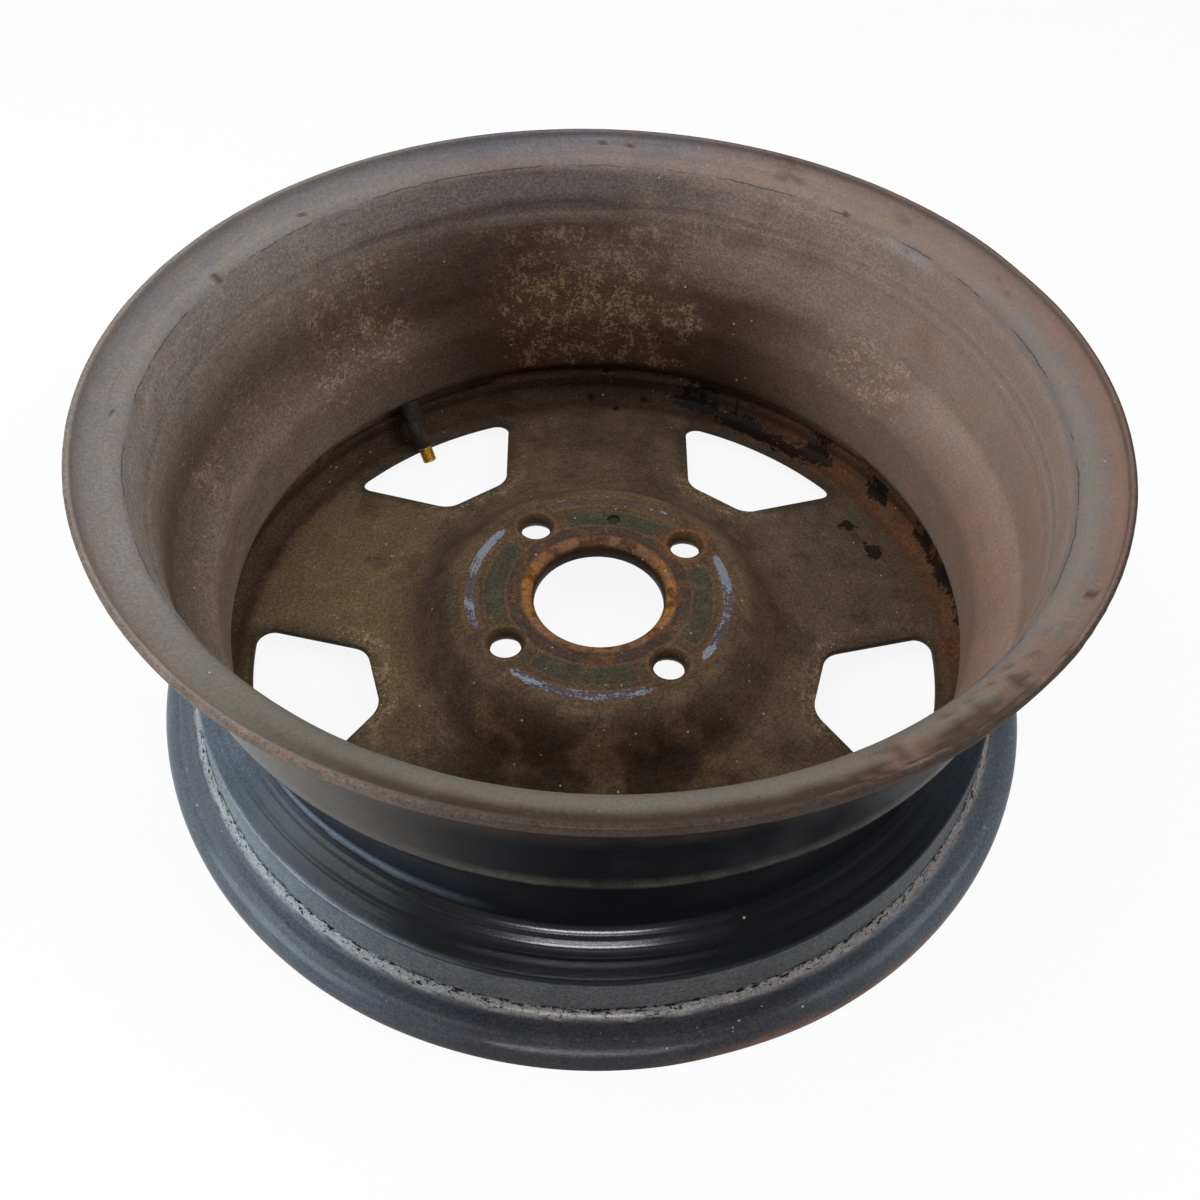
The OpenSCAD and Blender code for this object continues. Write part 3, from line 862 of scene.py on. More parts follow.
def coat_tyre_side(coat, outer, right, left, near):
    """Tyre side, from the inboard lip down."""
    r, z, wave, ripple = coat.r, coat.z, coat.wave, coat.ripple
    side_light = np.maximum(left, 0.6 * right)
    coat.specks *= 1 - 0.85 * outer
    high = outer * smooth(z, hump_in_z - 20, hump_in_z + 8)
    # Grey-olive on the high part at the sides is painted light, and its darkening towards the front is
    # painted shade under the lip.
    coat.paint(high * side_light * 0.9, "4f4d48")
    coat.paint(high * near * 0.25, "1c1a17")
    coat.mark("gloss", outer * side_light, 0.7)
    lip_rust = outer * smooth(z + 1.5 * ripple, lip_in_z - 9, lip_in_z - 5)
    coat.paint(lip_rust, EDGE_BROWN)
    # Lighter grey on this band at the left is painted light.
    coat.paint(lip_rust * left * 0.8, "7f7871")
    coat.paint(lip_rust * coat.towards(226, 36, 18) * 0.7, "6f5f54")
    # The dark band below the lip at the front is painted shade.
    coat.paint(outer * near * between(z + 1.5 * ripple, hump_in_z - 10, hump_in_z + 4, 2) * 0.8, "2e2722")
    coat.mark("gloss", lip_rust, 0.05)
    bend = outer * between(z + 0.5 * ripple, ledge_z + 0.5, ledge_z + 5.5, 0.8)
    coat.paint(bend * np.clip(0.55 + 0.4 * ripple, 0, 1), "46413a")
    wall = outer * between(z, hump_out_z - 0.5, well_out_z + 2, 1.5) * (r < hump_r + 0.2)
    coat.mark("gloss", wall, 0.05 + 0.2 * left)
    shiny = outer * between(z, hump_out_z + 5.6, well_out_z + 1, 0.8) * coat.towards(268, 24, 8)
    coat.mark("gloss", shiny, 0.3)
    hump = outer * between(z, hump_out_z - 4, hump_out_z, 1)
    coat.paint(hump * 0.7, BLUE_BLACK)
    coat.mark("gloss", hump, 0.06 + 0.4 * left)
    seat = outer * between(z + 0.8 * ripple, face_out_z + 4.2, hump_out_z - 3.4, 0.8)
    coat.paint(seat * 0.9, STREAK_GREY)
    coat.mark("gloss", seat, 0.3 + 0.7 * side_light)
    coat.mark("wear", seat, 0.14)
    fillet = outer * between(r + 0.5 * ripple, seat_r - 0.2, seat_r + 3.2, 0.4)
    fillet *= 1 - smooth(z, face_out_z + 3, face_out_z + 4.6)
    coat.paint(fillet, FLAKED)
    coat.mark("gloss", fillet, 0.15)
    torn = np.exp(-((z - face_out_z - 3.6) / 1.1) ** 2) * outer * (r < seat_r + 2)
    coat.mark("paint", np.clip(fillet + torn, 0, 1), 0.31 + 0.2 * torn)
    face = outer * (1 - smooth(z, face_out_z + 0.5, face_out_z + 1.5))
    face *= smooth(r + 0.5 * ripple, seat_r + 3.2, seat_r + 4.2)
    coat.paint(face, WORN_PAINT)
    coat.paint(face * between(r, seat_r + 4.5, seat_r + 8.5, 1) * 0.5, BLUE_BLACK)
    coat.mark("gloss", face, 0.09 + 0.5 * left + 0.3 * right)
    # Bare wear and pale specks along the curl, partly painted sparkle highlights.
    wear_and_sparkle = face * between(r + 0.6 * ripple, seat_r + 8.5, seat_r + 13.5, 1.2)
    coat.mark("wear", wear_and_sparkle, 0.18)
    coat.specks += 0.05 * wear_and_sparkle
    # Colours on the left side from here on are painted light from the left: olive-grey high up, bluish lines
    # at the well's corner and along the hump as painted highlights, a dark bluish well, and a lighter bluish
    # seat, wall, fillet and flange as painted reflection.
    left_reflection = outer * coat.towards(212, 50, 18, 3 * wave)
    coat.paint(left_reflection * between(z, ledge_z + 2, hump_in_z - 4, 5) * 0.75, "4d473e")
    coat.paint(left_reflection * between(z, well_out_z + 2, ledge_z - 8, 4) * 0.8, "222a33")
    coat.paint(left_reflection * between(z + 0.5 * ripple, well_out_z + 3, well_out_z + 8, 1.2) * 0.75, "7f8b98")
    coat.paint(left_reflection * between(z + 0.3 * ripple, hump_out_z - 1.5, hump_out_z + 0.6, 0.9) * 0.8, "8f9ba6")
    left_reflection_core = outer * coat.towards(194, 46, 12, 3 * wave)
    coat.paint(left_reflection * seat * 0.8, "666e74")
    coat.paint(left_reflection_core * seat * 0.8, "858f98")
    coat.paint(left_reflection_core * wall * 0.8, "5b6671")
    coat.paint(left_reflection * fillet * 0.7, "a3aaae")
    coat.paint(left_reflection * face * 0.75, "565f69")
    coat.mark("gloss", left_reflection * wall, 0.35)
    cool_side = outer * coat.towards(333, 42, 18, 3 * wave)
    coat.paint(cool_side * wall * coat.towards(348, 36, 12) * 0.45, "2f383f")
    coat.paint(cool_side * seat * 0.5, "62676a")
    coat.paint(cool_side * face * 0.6, "525b64")
    low_edge = outer * (1 - smooth(z + 1.5 * ripple, lip_out_z + 3, lip_out_z + 7))
    coat.paint(low_edge * 0.4, "33302f")
    coat.paint(low_edge * coat.towards(300, 24, 10, 4 * wave) * 0.8, "6a5041")


def coat_underneath(coat, inner):
    """Outboard side of the flange and lip."""
    under = inner * (1 - smooth(coat.z, face_out_z + 6, face_out_z + 12)) * smooth(coat.r, seat_r - 6, seat_r)
    coat.paint(under, BLACK_PAINT)
    coat.paint(under * smooth(coat.wave, 0.1, 0.5) * 0.7, EDGE_BROWN)
    coat.mark("gloss", under, 0.3)


def coat_rim(piece, tyre_side, inside):
    """Paints the rim by where each point lies along the section and round the axle line."""
    coat = Coat(piece, BLACK_PAINT, wave=(28, 3, 4), ripple=(9, 4, 3))
    inner, coat.along = section_place(coat, tyre_side, inside)
    right = coat.towards(12, 100, 35, 14 * coat.wave)
    far = coat.towards(92, 75, 20)
    left = coat.towards(188, 85, 35)
    near = coat.towards(270, 60, 25)
    coat.grit = 1 - 0.55 * inner * right * (1 - far) - 0.4 * inner * near
    coat_barrel(coat, inner, right, far, left)
    coat_inboard_flange(coat, inner, right, left, near)
    coat_tyre_side(coat, 1 - inner, right, left, near)
    coat_underneath(coat, inner)
    coat.store()


# Disc
disc_rows = [
    (bore_r, -bore_collar, 0),
    (bore_r, pad_z, bore_round),
    (pad_r, pad_z, pad_round),
    (cone_foot_r, cone_foot_z, cone_foot_round),
    (flange_inside_r(ring_edge_z), ring_edge_z, flange_bend),
    (flange_inside_r(flange_top_z), flange_top_z, 0),
]
disc_face, disc_corners = round_path(disc_rows)
disc_back = moved_path(disc_face, disc_sheet)
bore_end = disc_corners[0][1]
bend_start = disc_corners[3][0]


def window_outline():
    """A window's outline round direction 0, with the outward direction at each point."""
    lean = math.radians(window_lean)
    run_out = np.array([math.cos(lean), math.sin(lean)])
    inwards = np.array([math.sin(lean), -math.cos(lean)])
    edge = np.array([window_inner, window_inner_w / 2])
    p = edge + window_outer_round * inwards
    run = math.sqrt((p @ run_out) ** 2 - p @ p + (window_outer - window_outer_round) ** 2) - p @ run_out
    centre = p + run * run_out
    heading = math.degrees(math.atan2(centre[1], centre[0]))
    side = corner(np.array([window_inner, 0]), edge, edge + run_out, window_inner_round, 8)
    side += arc(centre, window_outer_round, 90 + window_lean, heading - 90 - window_lean, 8)
    side += arc(np.zeros(2), window_outer, heading, -heading, 1)[1:]
    loop = np.array(side + [q * (1, -1) for q in side[-2::-1]])
    loop = divided(np.vstack([loop, loop[:1]]), lambda q: 1.5)[:-1]
    ahead = np.roll(loop, -1, 0) - np.roll(loop, 1, 0)
    out = np.stack([-ahead[:, 1], ahead[:, 0]], 1)
    return loop, out / np.linalg.norm(out, axis=1)[:, None]


def rotated(points, angle):
    c, s = math.cos(math.radians(angle)), math.sin(math.radians(angle))
    return points @ np.array([[c, s], [-s, c]])


def on_ring(r, angle):
    """The plan place at a radius and a direction."""
    return rotated(np.array([r, 0.0]), angle)


window_loop, window_out = window_outline()
window_turns = [window_turn + i * 360 / window_count for i in range(window_count)]
bolt_turns = [bolt_turn + i * 360 / bolt_count for i in range(bolt_count)]
bolt_places = [on_ring(bolt_circle_r, a) for a in bolt_turns]
locating_place = on_ring(panel_ring_r, locating_turn)


def window_distance(points):
    """Distance of plan points from the nearest window's outline."""
    tree = KDTree(len(window_loop) * window_count)
    for i, a in enumerate(window_turns):
        for j, p in enumerate(rotated(window_loop, a)):
            tree.insert((*p, 0), i * len(window_loop) + j)
    tree.balance()
    return np.array([tree.find((*p, 0))[2] for p in points])


def in_loop(points, loop):
    """Which plan points lie inside a closed outline."""
    inside = np.zeros(len(points), bool)
    for a, b in zip(loop, np.roll(loop, -1, 0)):
        crosses = (a[1] > points[:, 1]) != (b[1] > points[:, 1])
        slope = (b[0] - a[0]) / (b[1] - a[1] if b[1] != a[1] else 1)
        inside ^= crosses & (points[:, 0] < a[0] + (points[:, 1] - a[1]) * slope)
    return inside


def turn_from_middles(angle):
    """Degrees from the nearest direction half way between two bolt holes."""
    return np.min([turn_from(angle, a + 180 / bolt_count) for a in bolt_turns], axis=0)


def ring_band(points, ring_r, width, span, soft):
    """Mask of the bands along a ring, half way between each two bolt holes."""
    r = np.hypot(points[:, 0], points[:, 1])
    angle = np.degrees(np.arctan2(points[:, 1], points[:, 0]))
    off = np.radians(turn_from_middles(angle)) * ring_r
    end = np.radians(span / 2) * ring_r
    across = between(r, ring_r - width / 2, ring_r + width / 2, soft)
    return across * (1 - smooth(off, end - soft, end + soft))


def sheet_height(points, path):
    """Height of one face of the disc's sheet at plan points, with the windows' borders pressed in."""
    ring = path[bore_end:bend_start + 1]
    z = np.interp(np.hypot(points[:, 0], points[:, 1]), ring[:, 0], ring[:, 1])
    gap = window_distance(points)
    return z - border_drop * (1 - smooth(gap, border_w - border_soft, border_w + border_soft))


def face_height(points):
    """Height of the disc's inboard face at plan points."""
    z = sheet_height(points, disc_face)
    z += contact_h * ring_band(points, contact_ring_r, contact_w, contact_angle, 0.5)
    z -= panel_depth * ring_band(points, panel_ring_r, panel_w, panel_angle, 0.5)
    return z


def back_height(points):
    """Height of the disc's outboard face at plan points."""
    return sheet_height(points, disc_back)


def circle(centre, r, sides):
    angle = 2 * math.pi * np.arange(sides) / sides
    return np.asarray(centre) + r * np.stack([np.cos(angle), np.sin(angle)], 1)


def filled(loops, inner_r, outer_r, grain, hub):
    """Plan points and triangles between two circles, clear of the inside of the other loops."""
    rows, gaps, r = [], [], inner_r
    while r < outer_r - 1.4 * grain:
        gap = hub if r < hub_fine_r else grain
        r += 0.87 * gap
        sides = int(2 * math.pi * r / gap)
        rows.append(rotated(circle((0, 0), r, sides), 180 * (len(rows) % 2) / sides))
        gaps.append(np.full(sides, gap))
    inner_points = np.vstack(rows)
    edges_at = np.vstack(loops)
    tree = KDTree(len(edges_at))
    for i, p in enumerate(edges_at):
        tree.insert((*p, 0), i)
    tree.balance()
    clear = np.array([tree.find((*p, 0))[2] for p in inner_points]) > 0.6 * np.concatenate(gaps)
    for loop in loops[2:]:
        clear &= ~in_loop(inner_points, loop)
    points = np.vstack([edges_at, inner_points[clear]])
    edges, start = [], 0
    for loop in loops:
        edges += [(start + i, start + (i + 1) % len(loop)) for i in range(len(loop))]
        start += len(loop)
    made = delaunay_2d_cdt([Vector(p) for p in points], edges, [], 0, 1e-6)
    points = np.array([tuple(p) for p in made[0]])
    faces = np.array([f for f in made[2] if len(f) == 3])
    middle = points[faces].mean(1)
    keep = in_loop(middle, loops[1]) & ~in_loop(middle, loops[0])
    for loop in loops[2:]:
        keep &= ~in_loop(middle, loop)
    return points, faces[keep]


class Shell:
    """Collects points and faces of one piece."""

    def __init__(self):
        self.points, self.faces, self.count = [], [], 0

    def add(self, points, faces):
        self.faces += [tuple(int(i) + self.count for i in f) for f in faces]
        self.points.append(np.asarray(points, float))
        self.count += len(points)

    def rings(self, rows):
        """Joins rings of equally many points."""
        self.add(np.vstack(rows), rings(len(rows), len(rows[0])))


def lifted(points, height):
    return np.column_stack([points, height(points)])


def add_disc_faces(shell):
    """The two faces of the sheet between the bore and the welded flange, with holes for what is cut."""
    windows = [rotated(window_loop + cut_round * window_out, a) for a in window_turns]
    for height, path, hole_r, grain, hub in (
        (face_height, disc_face, mouth_r, face_grain, hub_grain),
        (back_height, disc_back, boss_r + boss_fillet, back_grain, back_grain),
    ):
        inner_r, outer_r = path[bore_end, 0], path[bend_start, 0]
        loops = [circle((0, 0), inner_r, bore_sides), circle((0, 0), outer_r, disc_sides), *windows]
        loops += [circle(p, hole_r, bolt_sides) for p in bolt_places]
        loops.append(circle(locating_place, locating_r + cut_round, bolt_sides // 2))
        points, faces = filled(loops, inner_r, outer_r, grain, hub)
        shell.add(lifted(points, height), faces)


def add_collar_and_flange(shell):
    """Collar of the bore, and the welded flange."""
    section = sheet_loop(disc_face, disc_back, edge_round)
    tip = section[(section[:, 0] > cone_foot_r) & (section[:, 1] > flange_top_z - 1.2 * edge_round)]
    collar_end = np.vstack([section[:4][::-1], section[-4:][::-1]])
    for path, sides in (
        (np.vstack([disc_face[bore_end:0:-1], collar_end, disc_back[1:bore_end + 1]]), bore_sides),
        (np.vstack([disc_face[bend_start:-1], tip, disc_back[-2:bend_start - 1:-1]]), disc_sides),
    ):
        around = circle((0, 0), 1, sides)
        shell.rings([np.column_stack([around * r, np.full(sides, z)]) for r, z in path])


def eased_edge(loop, out, edge_z, way):
    """Rings that turn over a cut edge, from the face into the cut, which runs up or down by way."""
    rows = [np.column_stack([loop + cut_round * out, edge_z])]
    for across, down in cut_steps:
        rows.append(np.column_stack([loop + cut_round * across * out, edge_z + way * cut_round * down]))
    return rows


def add_window_edges(shell):
    """Cut edges of the windows."""
    for turn in window_turns:
        loop, out = rotated(window_loop, turn), rotated(window_out, turn)
        edge = loop + cut_round * out
        top, low = face_height(edge), back_height(edge)
        middle = np.column_stack([loop, (top + low) / 2])
        shell.rings([*eased_edge(loop, out, top, -1), middle, *eased_edge(loop, out, low, 1)[::-1]])


def add_locating_hole(shell):
    """Locating hole, closed a little way in from each side by a plug that stands in for the shade under the
    disc.
    """
    hole = circle(locating_place, locating_r, bolt_sides // 2)
    out = (hole - locating_place) / locating_r
    for height, depth in ((face_height, -shade_plug_depth), (back_height, shade_plug_back)):
        edge_z = height(hole + cut_round * out)
        rows = eased_edge(hole, out, edge_z, math.copysign(1, depth))
        rows.append(np.column_stack([hole, edge_z + depth]))
        shell.rings(rows)
        shell.add(rows[-1], [tuple(range(len(hole)))])


def add_bolt_bosses(shell):
    """Drawn bosses of the bolt holes: a funnel from the pad, a short throat and a cone seat for the nut."""
    low_z = -bolt_boss_h
    back_z = pad_z - disc_sheet
    seat_z = pad_z - crater_depth - throat_h
    seat_low_r = bolt_r + (seat_z - low_z) * math.tan(math.radians(nut_seat_angle / 2))
    boss = []
    for a in np.radians(np.arange(0, 91, 10)):
        boss.append((bolt_r + bolt_round * (1 - math.sin(a)), pad_z - crater_depth * (1 - math.cos(a))))
    boss += [(bolt_r, seat_z), (seat_low_r, low_z)]
    boss += arc(np.array([boss_r - edge_round, low_z + edge_round]), edge_round, -90, 90, 30)
    boss += arc(np.array([boss_r + boss_fillet, back_z - boss_fillet]), boss_fillet, 180, -90, 15)
    around = circle((0, 0), 1, bolt_sides)
    for place in bolt_places:
        rows = [np.column_stack([place + around * r, np.full(bolt_sides, z)]) for r, z in boss[:-1]]
        rows.append(lifted(place + around * boss[-1][0], back_height))
        shell.rings(rows)


def make_disc():
    shell = Shell()
    add_disc_faces(shell)
    add_collar_and_flange(shell)
    add_window_edges(shell)
    add_locating_hole(shell)
    add_bolt_bosses(shell)
    piece = new_piece("pressed_disc", np.vstack(shell.points), shell.faces)
    tidy_mesh(piece)
    return piece


def coat_window_ring(coat, up):
    """Ring with the windows, from the cone to the welded flange."""
    r, wave, ripple = coat.r, coat.wave, coat.ripple
    edge_gap = window_distance(coat.plan)
    ring = smooth(r, 88, 108)
    # The ring's tone by side is painted light and shade: darker on the far side, darkest towards the front
    # and lighter on the left; on the right it is greyer.
    coat.paint(coat.towards(90, 60, 25) * ring * 0.6, "463a30")
    coat.paint(coat.towards(270, 60, 25, 6 * wave) * smooth(r, 66, 84) * 0.9, DISC_SHADE)
    coat.paint(coat.towards(10, 55, 20) * ring * 0.5, "5b5046")
    coat.paint(coat.towards(185, 55, 25) * ring * 0.7, "726149")
    coat.paint(between(r, 76, 104, 5) * smooth(wave, -0.1, 0.5) * 0.35, "4d3a29")
    coat.paint(smooth(wave + 0.4 * ripple, 0.0, 0.5) * 0.3, "6a5741")
    coat.paint(smooth(-wave + 0.4 * ripple, 0.0, 0.5) * 0.35, "352a20")
    coat.mark("dust", smooth(wave + 0.6 * ripple, 0.0, 0.6), 0.2)

    # Dust that gathers round the windows, and painted shade in their pressed borders
    rim_dust = (1 - smooth(edge_gap + 4 * ripple, 3, 13)) * (1 - smooth(r + 6 * wave, 112, 136))
    coat.paint(rim_dust * 0.35, "7d6c55")
    # The darker band close round each window, in its pressed border, is painted shade.
    coat.paint((1 - smooth(edge_gap, 3.5, 6)) * 0.4, "392f27")
    coat.mark("dust", rim_dust, 1.0)
    coat.specks += 0.2 * rim_dust
    cut_edge = 1 - smooth(edge_gap, 0.4, 1.2)
    coat.paint(cut_edge * 0.6, "41362e")

    # Bend and welded flange
    # The darker bend along the welded flange is painted shade.
    bend = smooth(r + 2.5 * ripple, 168, 174)
    coat.paint(bend * 0.7, "372a22")
    coat.paint(bend * coat.towards(25, 50, 20, 8 * wave) * 0.5, RUST_ORANGE)
    coat.paint(coat.towards(20, 45, 15) * between(r, 160, 174, 4) * 0.35, "5f4736")
    flakes = [(178, 64, 6, 5), (176, 54, 7, 5), (181, 47, 4, 4), (155, 30, 2.2, 5), (157, 22, 2.6, 6)]
    flakes += [(183, 33, 3, 3), (183.5, 13, 5, 3.5), (183.5, 3, 4, 3), (183, 73, 5, 4), (184, 20, 4, 2)]
    for ring_r, centre, half, width in flakes:
        away = (turn_from(coat.angle, centre) / half) ** 2 + ((r - ring_r) / width) ** 2
        coat.mark("paint", np.exp(-away) * up, 0.95)
    for ring_r, centre in ((179.8, 93.2), (180, 82.6), (171, 88)):
        coat.paint(1 - smooth(coat.plan_from(ring_r, centre), 1.2, 3), "1c1512")
    clusters = [(82.5, 301, 7, 0.4), (96, 296, 9, 0.35), (159, 147, 6, 0.5)]
    clusters += [(136, 37, 5, 0.2), (85, 233, 4, 0.3)]
    for ring_r, centre, size, amount in clusters:
        coat.specks += amount * (1 - smooth(coat.plan_from(ring_r, centre), 1, size))


def coat_hub_pad(coat, up):
    """Hub pad, with its ring round the bore and the sunk panels between the bolt holes."""
    r, wave, ripple = coat.r, coat.wave, coat.ripple
    bolt_gap = np.min([coat.plan_from(bolt_circle_r, a) for a in bolt_turns], axis=0)
    pad = 1 - smooth(r, 66, 72)
    coat.paint(pad * 0.85, "4e3f31")
    coat.paint(between(r, 67, 71.5, 1.2) * smooth(wave, -0.3, 0.3) * 0.4, "66543f")
    hub_ring = between(r, 38, 45.2, 0.6)
    coat.paint(hub_ring, PURPLE_BROWN)
    coat.paint(hub_ring * smooth(ripple + 0.4 * wave, 0.05, 0.4) * 0.5, "64472f")
    coat.paint(between(r, 44.7, 45.9, 0.5) * 0.35, "7a5f45")
    panel = ring_band(coat.plan, panel_ring_r, panel_w, panel_angle, 0.5) * up
    border = ring_band(coat.plan, panel_ring_r, panel_w + 2, panel_angle + 2, 0.5) * up
    coat.paint(np.clip(border - panel, 0, 1) * 0.4, "6a5340")
    coat.paint(panel * 0.85, PANEL_GREEN)
    coat.paint(panel * smooth(ripple + 0.5 * wave, 0.1, 0.5) * 0.35, "5a5040")

    # Bolt holes and bore
    bolt_rust = (1 - smooth(bolt_gap + 2 * ripple, 10.5, 15)) * pad
    coat.paint(bolt_rust * coat.towards(38, 90, 30) * 0.5, "6e4626")
    coat.paint((1 - smooth(bolt_gap, 9.2, 10.4)) * 0.6, "46331f")
    coat.paint(np.exp(-((bolt_gap - 10.3) / 0.7) ** 2) * up * 0.4, "776049")
    entry = 1 - smooth(r + 0.8 * ripple, 36.6, 38.4)
    # Brighter orange rust at the left and right of the bore's rounded entry is partly painted highlight.
    sides = smooth(turn_from(2 * coat.angle, 0), 110, 40)
    coat.paint(entry, "785840")
    coat.paint(entry * sides * smooth(ripple + 0.4 * wave, -0.3, 0.25) * 0.75, "94662f")
    coat.paint(entry * smooth(ripple - 0.5 * wave, 0.05, 0.4) * 0.7, "3b2a1f")
    coat.paint(1 - smooth(r, 31.9, 33.2), "3a2a1e")
    # The dark plug in the locating hole is painted shade.
    shade_plug = coat.plan_from(panel_ring_r, locating_turn)
    shade_plug = 1 - smooth(shade_plug, locating_r - 0.3, locating_r + 0.3)
    coat.paint(shade_plug, "1f1813")


def coat_contact_pads(coat, up):
    """Contact pads, rubbed bare most at their ends and not at all on the far side."""
    r, wave, ripple = coat.r, coat.wave, coat.ripple
    off = turn_from_middles(coat.angle)
    narrow = np.sqrt(np.clip(1 - (off / (contact_angle / 2 + 0.5)) ** 8, 0.02, 1))
    across = np.abs(r - contact_ring_r) / narrow + 0.5 * ripple
    contact = (1 - smooth(across, contact_w / 2 - 0.7, contact_w / 2)) * up * (off < contact_angle / 2 + 0.5)
    border = ring_band(coat.plan, contact_ring_r + 0.4, contact_w + 2.8, contact_angle + 3, 0.6) * up
    coat.paint(np.clip(border - contact, 0, 1) * 0.45, "6a5038")
    kept = 1 - coat.towards(83, 42, 30)
    coat.paint(contact * (0.25 + 0.65 * kept), "564b4e")
    rub = np.clip(0.44 + 0.25 * smooth(off, 6, 20) + 0.4 * ripple + 0.3 * wave, 0, 1)
    coat.mark("wear", contact * kept * rub, 0.9)
    for centre, ring_r, length in ((109, 65, 5.5), (60, 64, 3.5)):
        away = np.hypot(coat.arc_from(centre) / length, (r - ring_r) / 1.3)
        coat.mark("wear", np.exp(-away ** 2) * up, 0.7)


def coat_disc(piece):
    """Paints the disc by plan place, from the welded flange to the bore, and its outboard side."""
    coat = Coat(piece, DISC_BROWN, wave=(26, 5, 4), ripple=(8, 6, 3))
    coat.along = coat.r
    coat.specks += 0.03
    coat.grit *= 1.1
    up = smooth(np.array([v.normal.z for v in piece.data.vertices]), -0.3, 0.2)
    coat_window_ring(coat, up)
    coat_hub_pad(coat, up)
    coat_contact_pads(coat, up)
    coat.paint((1 - up) * 0.85, BLACK_PAINT)
    coat.paint((1 - up) * smooth(coat.wave, 0.05, 0.5) * 0.7, EDGE_BROWN)
    coat.mark("gloss", 1 - up, 0.4)
    coat.store()


# Welds
def make_welds():
    foot_z = flange_top_z + (disc_sheet + disc_fit * taper_cos) * math.sin(math.radians(seat_taper))
    foot = np.array([seat_inside_r(foot_z), foot_z])
    steps = 90
    shell = Shell()
    for turn in window_turns:
        middle = turn + 180 / window_count
        rows = []
        for i in range(steps + 1):
            share = i / steps
            ripple = 1 + 0.08 * math.sin(i * 1.9) + 0.1 * noise.noise(Vector((i * 0.35, turn, 0)))
            size = weld_size * ripple * min(1, math.sqrt(max(0.0, math.sin(math.pi * share)) * 3) + 0.05)
            bead = [foot, *arc(foot, size, 90 + seat_taper, 90, 15)]
            a = math.radians(middle + weld_angle * (share - 0.5))
            rows.append(np.array([(p[0] * math.cos(a), p[0] * math.sin(a), p[1]) for p in bead]))
        sides = len(rows[0])
        faces = rings(len(rows), sides)
        faces += [tuple(range(sides)), tuple(range(steps * sides + sides - 1, steps * sides - 1, -1))]
        shell.add(np.vstack(rows), faces)
    piece = new_piece("weld_beads", np.vstack(shell.points), shell.faces)
    tidy_mesh(piece)
    coat = Coat(piece, "4f3d30", wave=(12, 9, 3), ripple=(7, 8, 3))
    coat.mark("dust", smooth(coat.ripple, -0.2, 0.4), 0.4)
    coat.mark("paint", smooth(coat.wave, 0.0, 0.4), 0.4)
    coat.store()
    return piece


# Valve
tip_z = -rim_sheet - valve_length
rubber_end_z = tip_z + valve_thread_l
shoulder_z = -rim_sheet - valve_shoulder_gap
neck_z = shoulder_z - valve_shoulder_l
core_z = tip_z + core_recess
core_top_z = core_z + core_l
cup_z = core_top_z + cup_gap
core_bore_top_z = cup_z + cup_l + pin_travel + core_recess


def spun(name, rows, sides=valve_sides, step=30):
    """A piece turned about the valve's axis from closed rows of (radius, height, corner radius)."""
    loop = []
    at = [np.array(row[:2], float) for row in rows]
    for i, row in enumerate(rows):
        turn = corner(at[i - 1], at[i], at[(i + 1) % len(rows)], row[2], step) if row[2] else [at[i]]
        loop += turn
    section = np.array(loop)
    piece = new_piece(name, on_valve(turned(section, sides)), rings(len(section), sides, closed=True))
    tidy_mesh(piece, 40)
    return piece


def make_rubber():
    rows = [
        (air_r, valve_foot_h, 0),
        (valve_foot_r, valve_foot_h, 2.4),
        (valve_foot_r, 0, 0.4),
        (valve_hole_r - valve_fit, 0, 0),
        (valve_hole_r - valve_fit, shoulder_z, 0),
        (valve_shoulder_r, shoulder_z, 0.5),
        (valve_neck_r, neck_z, 1.2),
        (valve_rubber_r, rubber_end_z, 0.7),
        (valve_stem_r, rubber_end_z, 0),
        (valve_stem_r, neck_z, 0),
        (air_r, neck_z, 0),
    ]
    return spun("snap_in_rubber", rows)


def make_stem():
    """Brass stem with its thread cut as a helix on the tip."""
    angle = 2 * math.pi * np.arange(valve_sides) / valve_sides

    def ring(r, h):
        return np.stack([r * np.cos(angle), r * np.sin(angle), np.full(valve_sides, h)], 1)

    z = np.linspace(rubber_end_z, tip_z, thread_rows)
    turn = (z[:, None] / thread_pitch + angle[None, :] / (2 * math.pi)) % 1
    cut = thread_depth * np.abs(2 * turn - 1)
    fade = smooth(z, tip_z, tip_z + 0.9) * (1 - smooth(z, rubber_end_z - 0.6, rubber_end_z))
    chamfer = thread_chamfer * (1 - smooth(z, tip_z, tip_z + thread_chamfer))
    radius = valve_thread_r - cut * fade[:, None] - chamfer[:, None]
    rows = [ring(r, h) for r, h in zip(radius, z)]
    inside = [
        (core_bore_r + core_bore_chamfer, tip_z),
        (core_bore_r, tip_z + core_bore_chamfer),
        (core_bore_r, core_bore_top_z),
        (air_r, core_bore_top_z),
        (air_r, neck_z),
        (valve_stem_r, neck_z),
        (valve_stem_r, rubber_end_z),
    ]
    rows += [ring(r, h) for r, h in inside]
    points = on_valve(np.vstack(rows))
    piece = new_piece("brass_stem", points, rings(len(rows), valve_sides, closed=True))
    tidy_mesh(piece, 40)
    return piece


def make_core():
    outer_r, inner_r = core_bore_r - core_fit, pin_r + pin_fit
    rows = [
        (inner_r, core_z, 0.15),
        (outer_r, core_z, 0.3),
        (outer_r, core_top_z, 0.2),
        (inner_r, core_top_z, 0),
    ]
    return spun("core_plug", rows, 40)


def make_pin():
    pin_z = tip_z + pin_recess
    middle_r = 0.02
    rows = [
        (middle_r, pin_z, 0),
        (pin_r, pin_z, 0.25),
        (pin_r, cup_z, 0),
        (cup_r, cup_z, 0.2),
        (cup_r, cup_z + cup_l, 0.3),
        (middle_r, cup_z + cup_l, 0),
    ]
    return spun("core_pin", rows, 32)


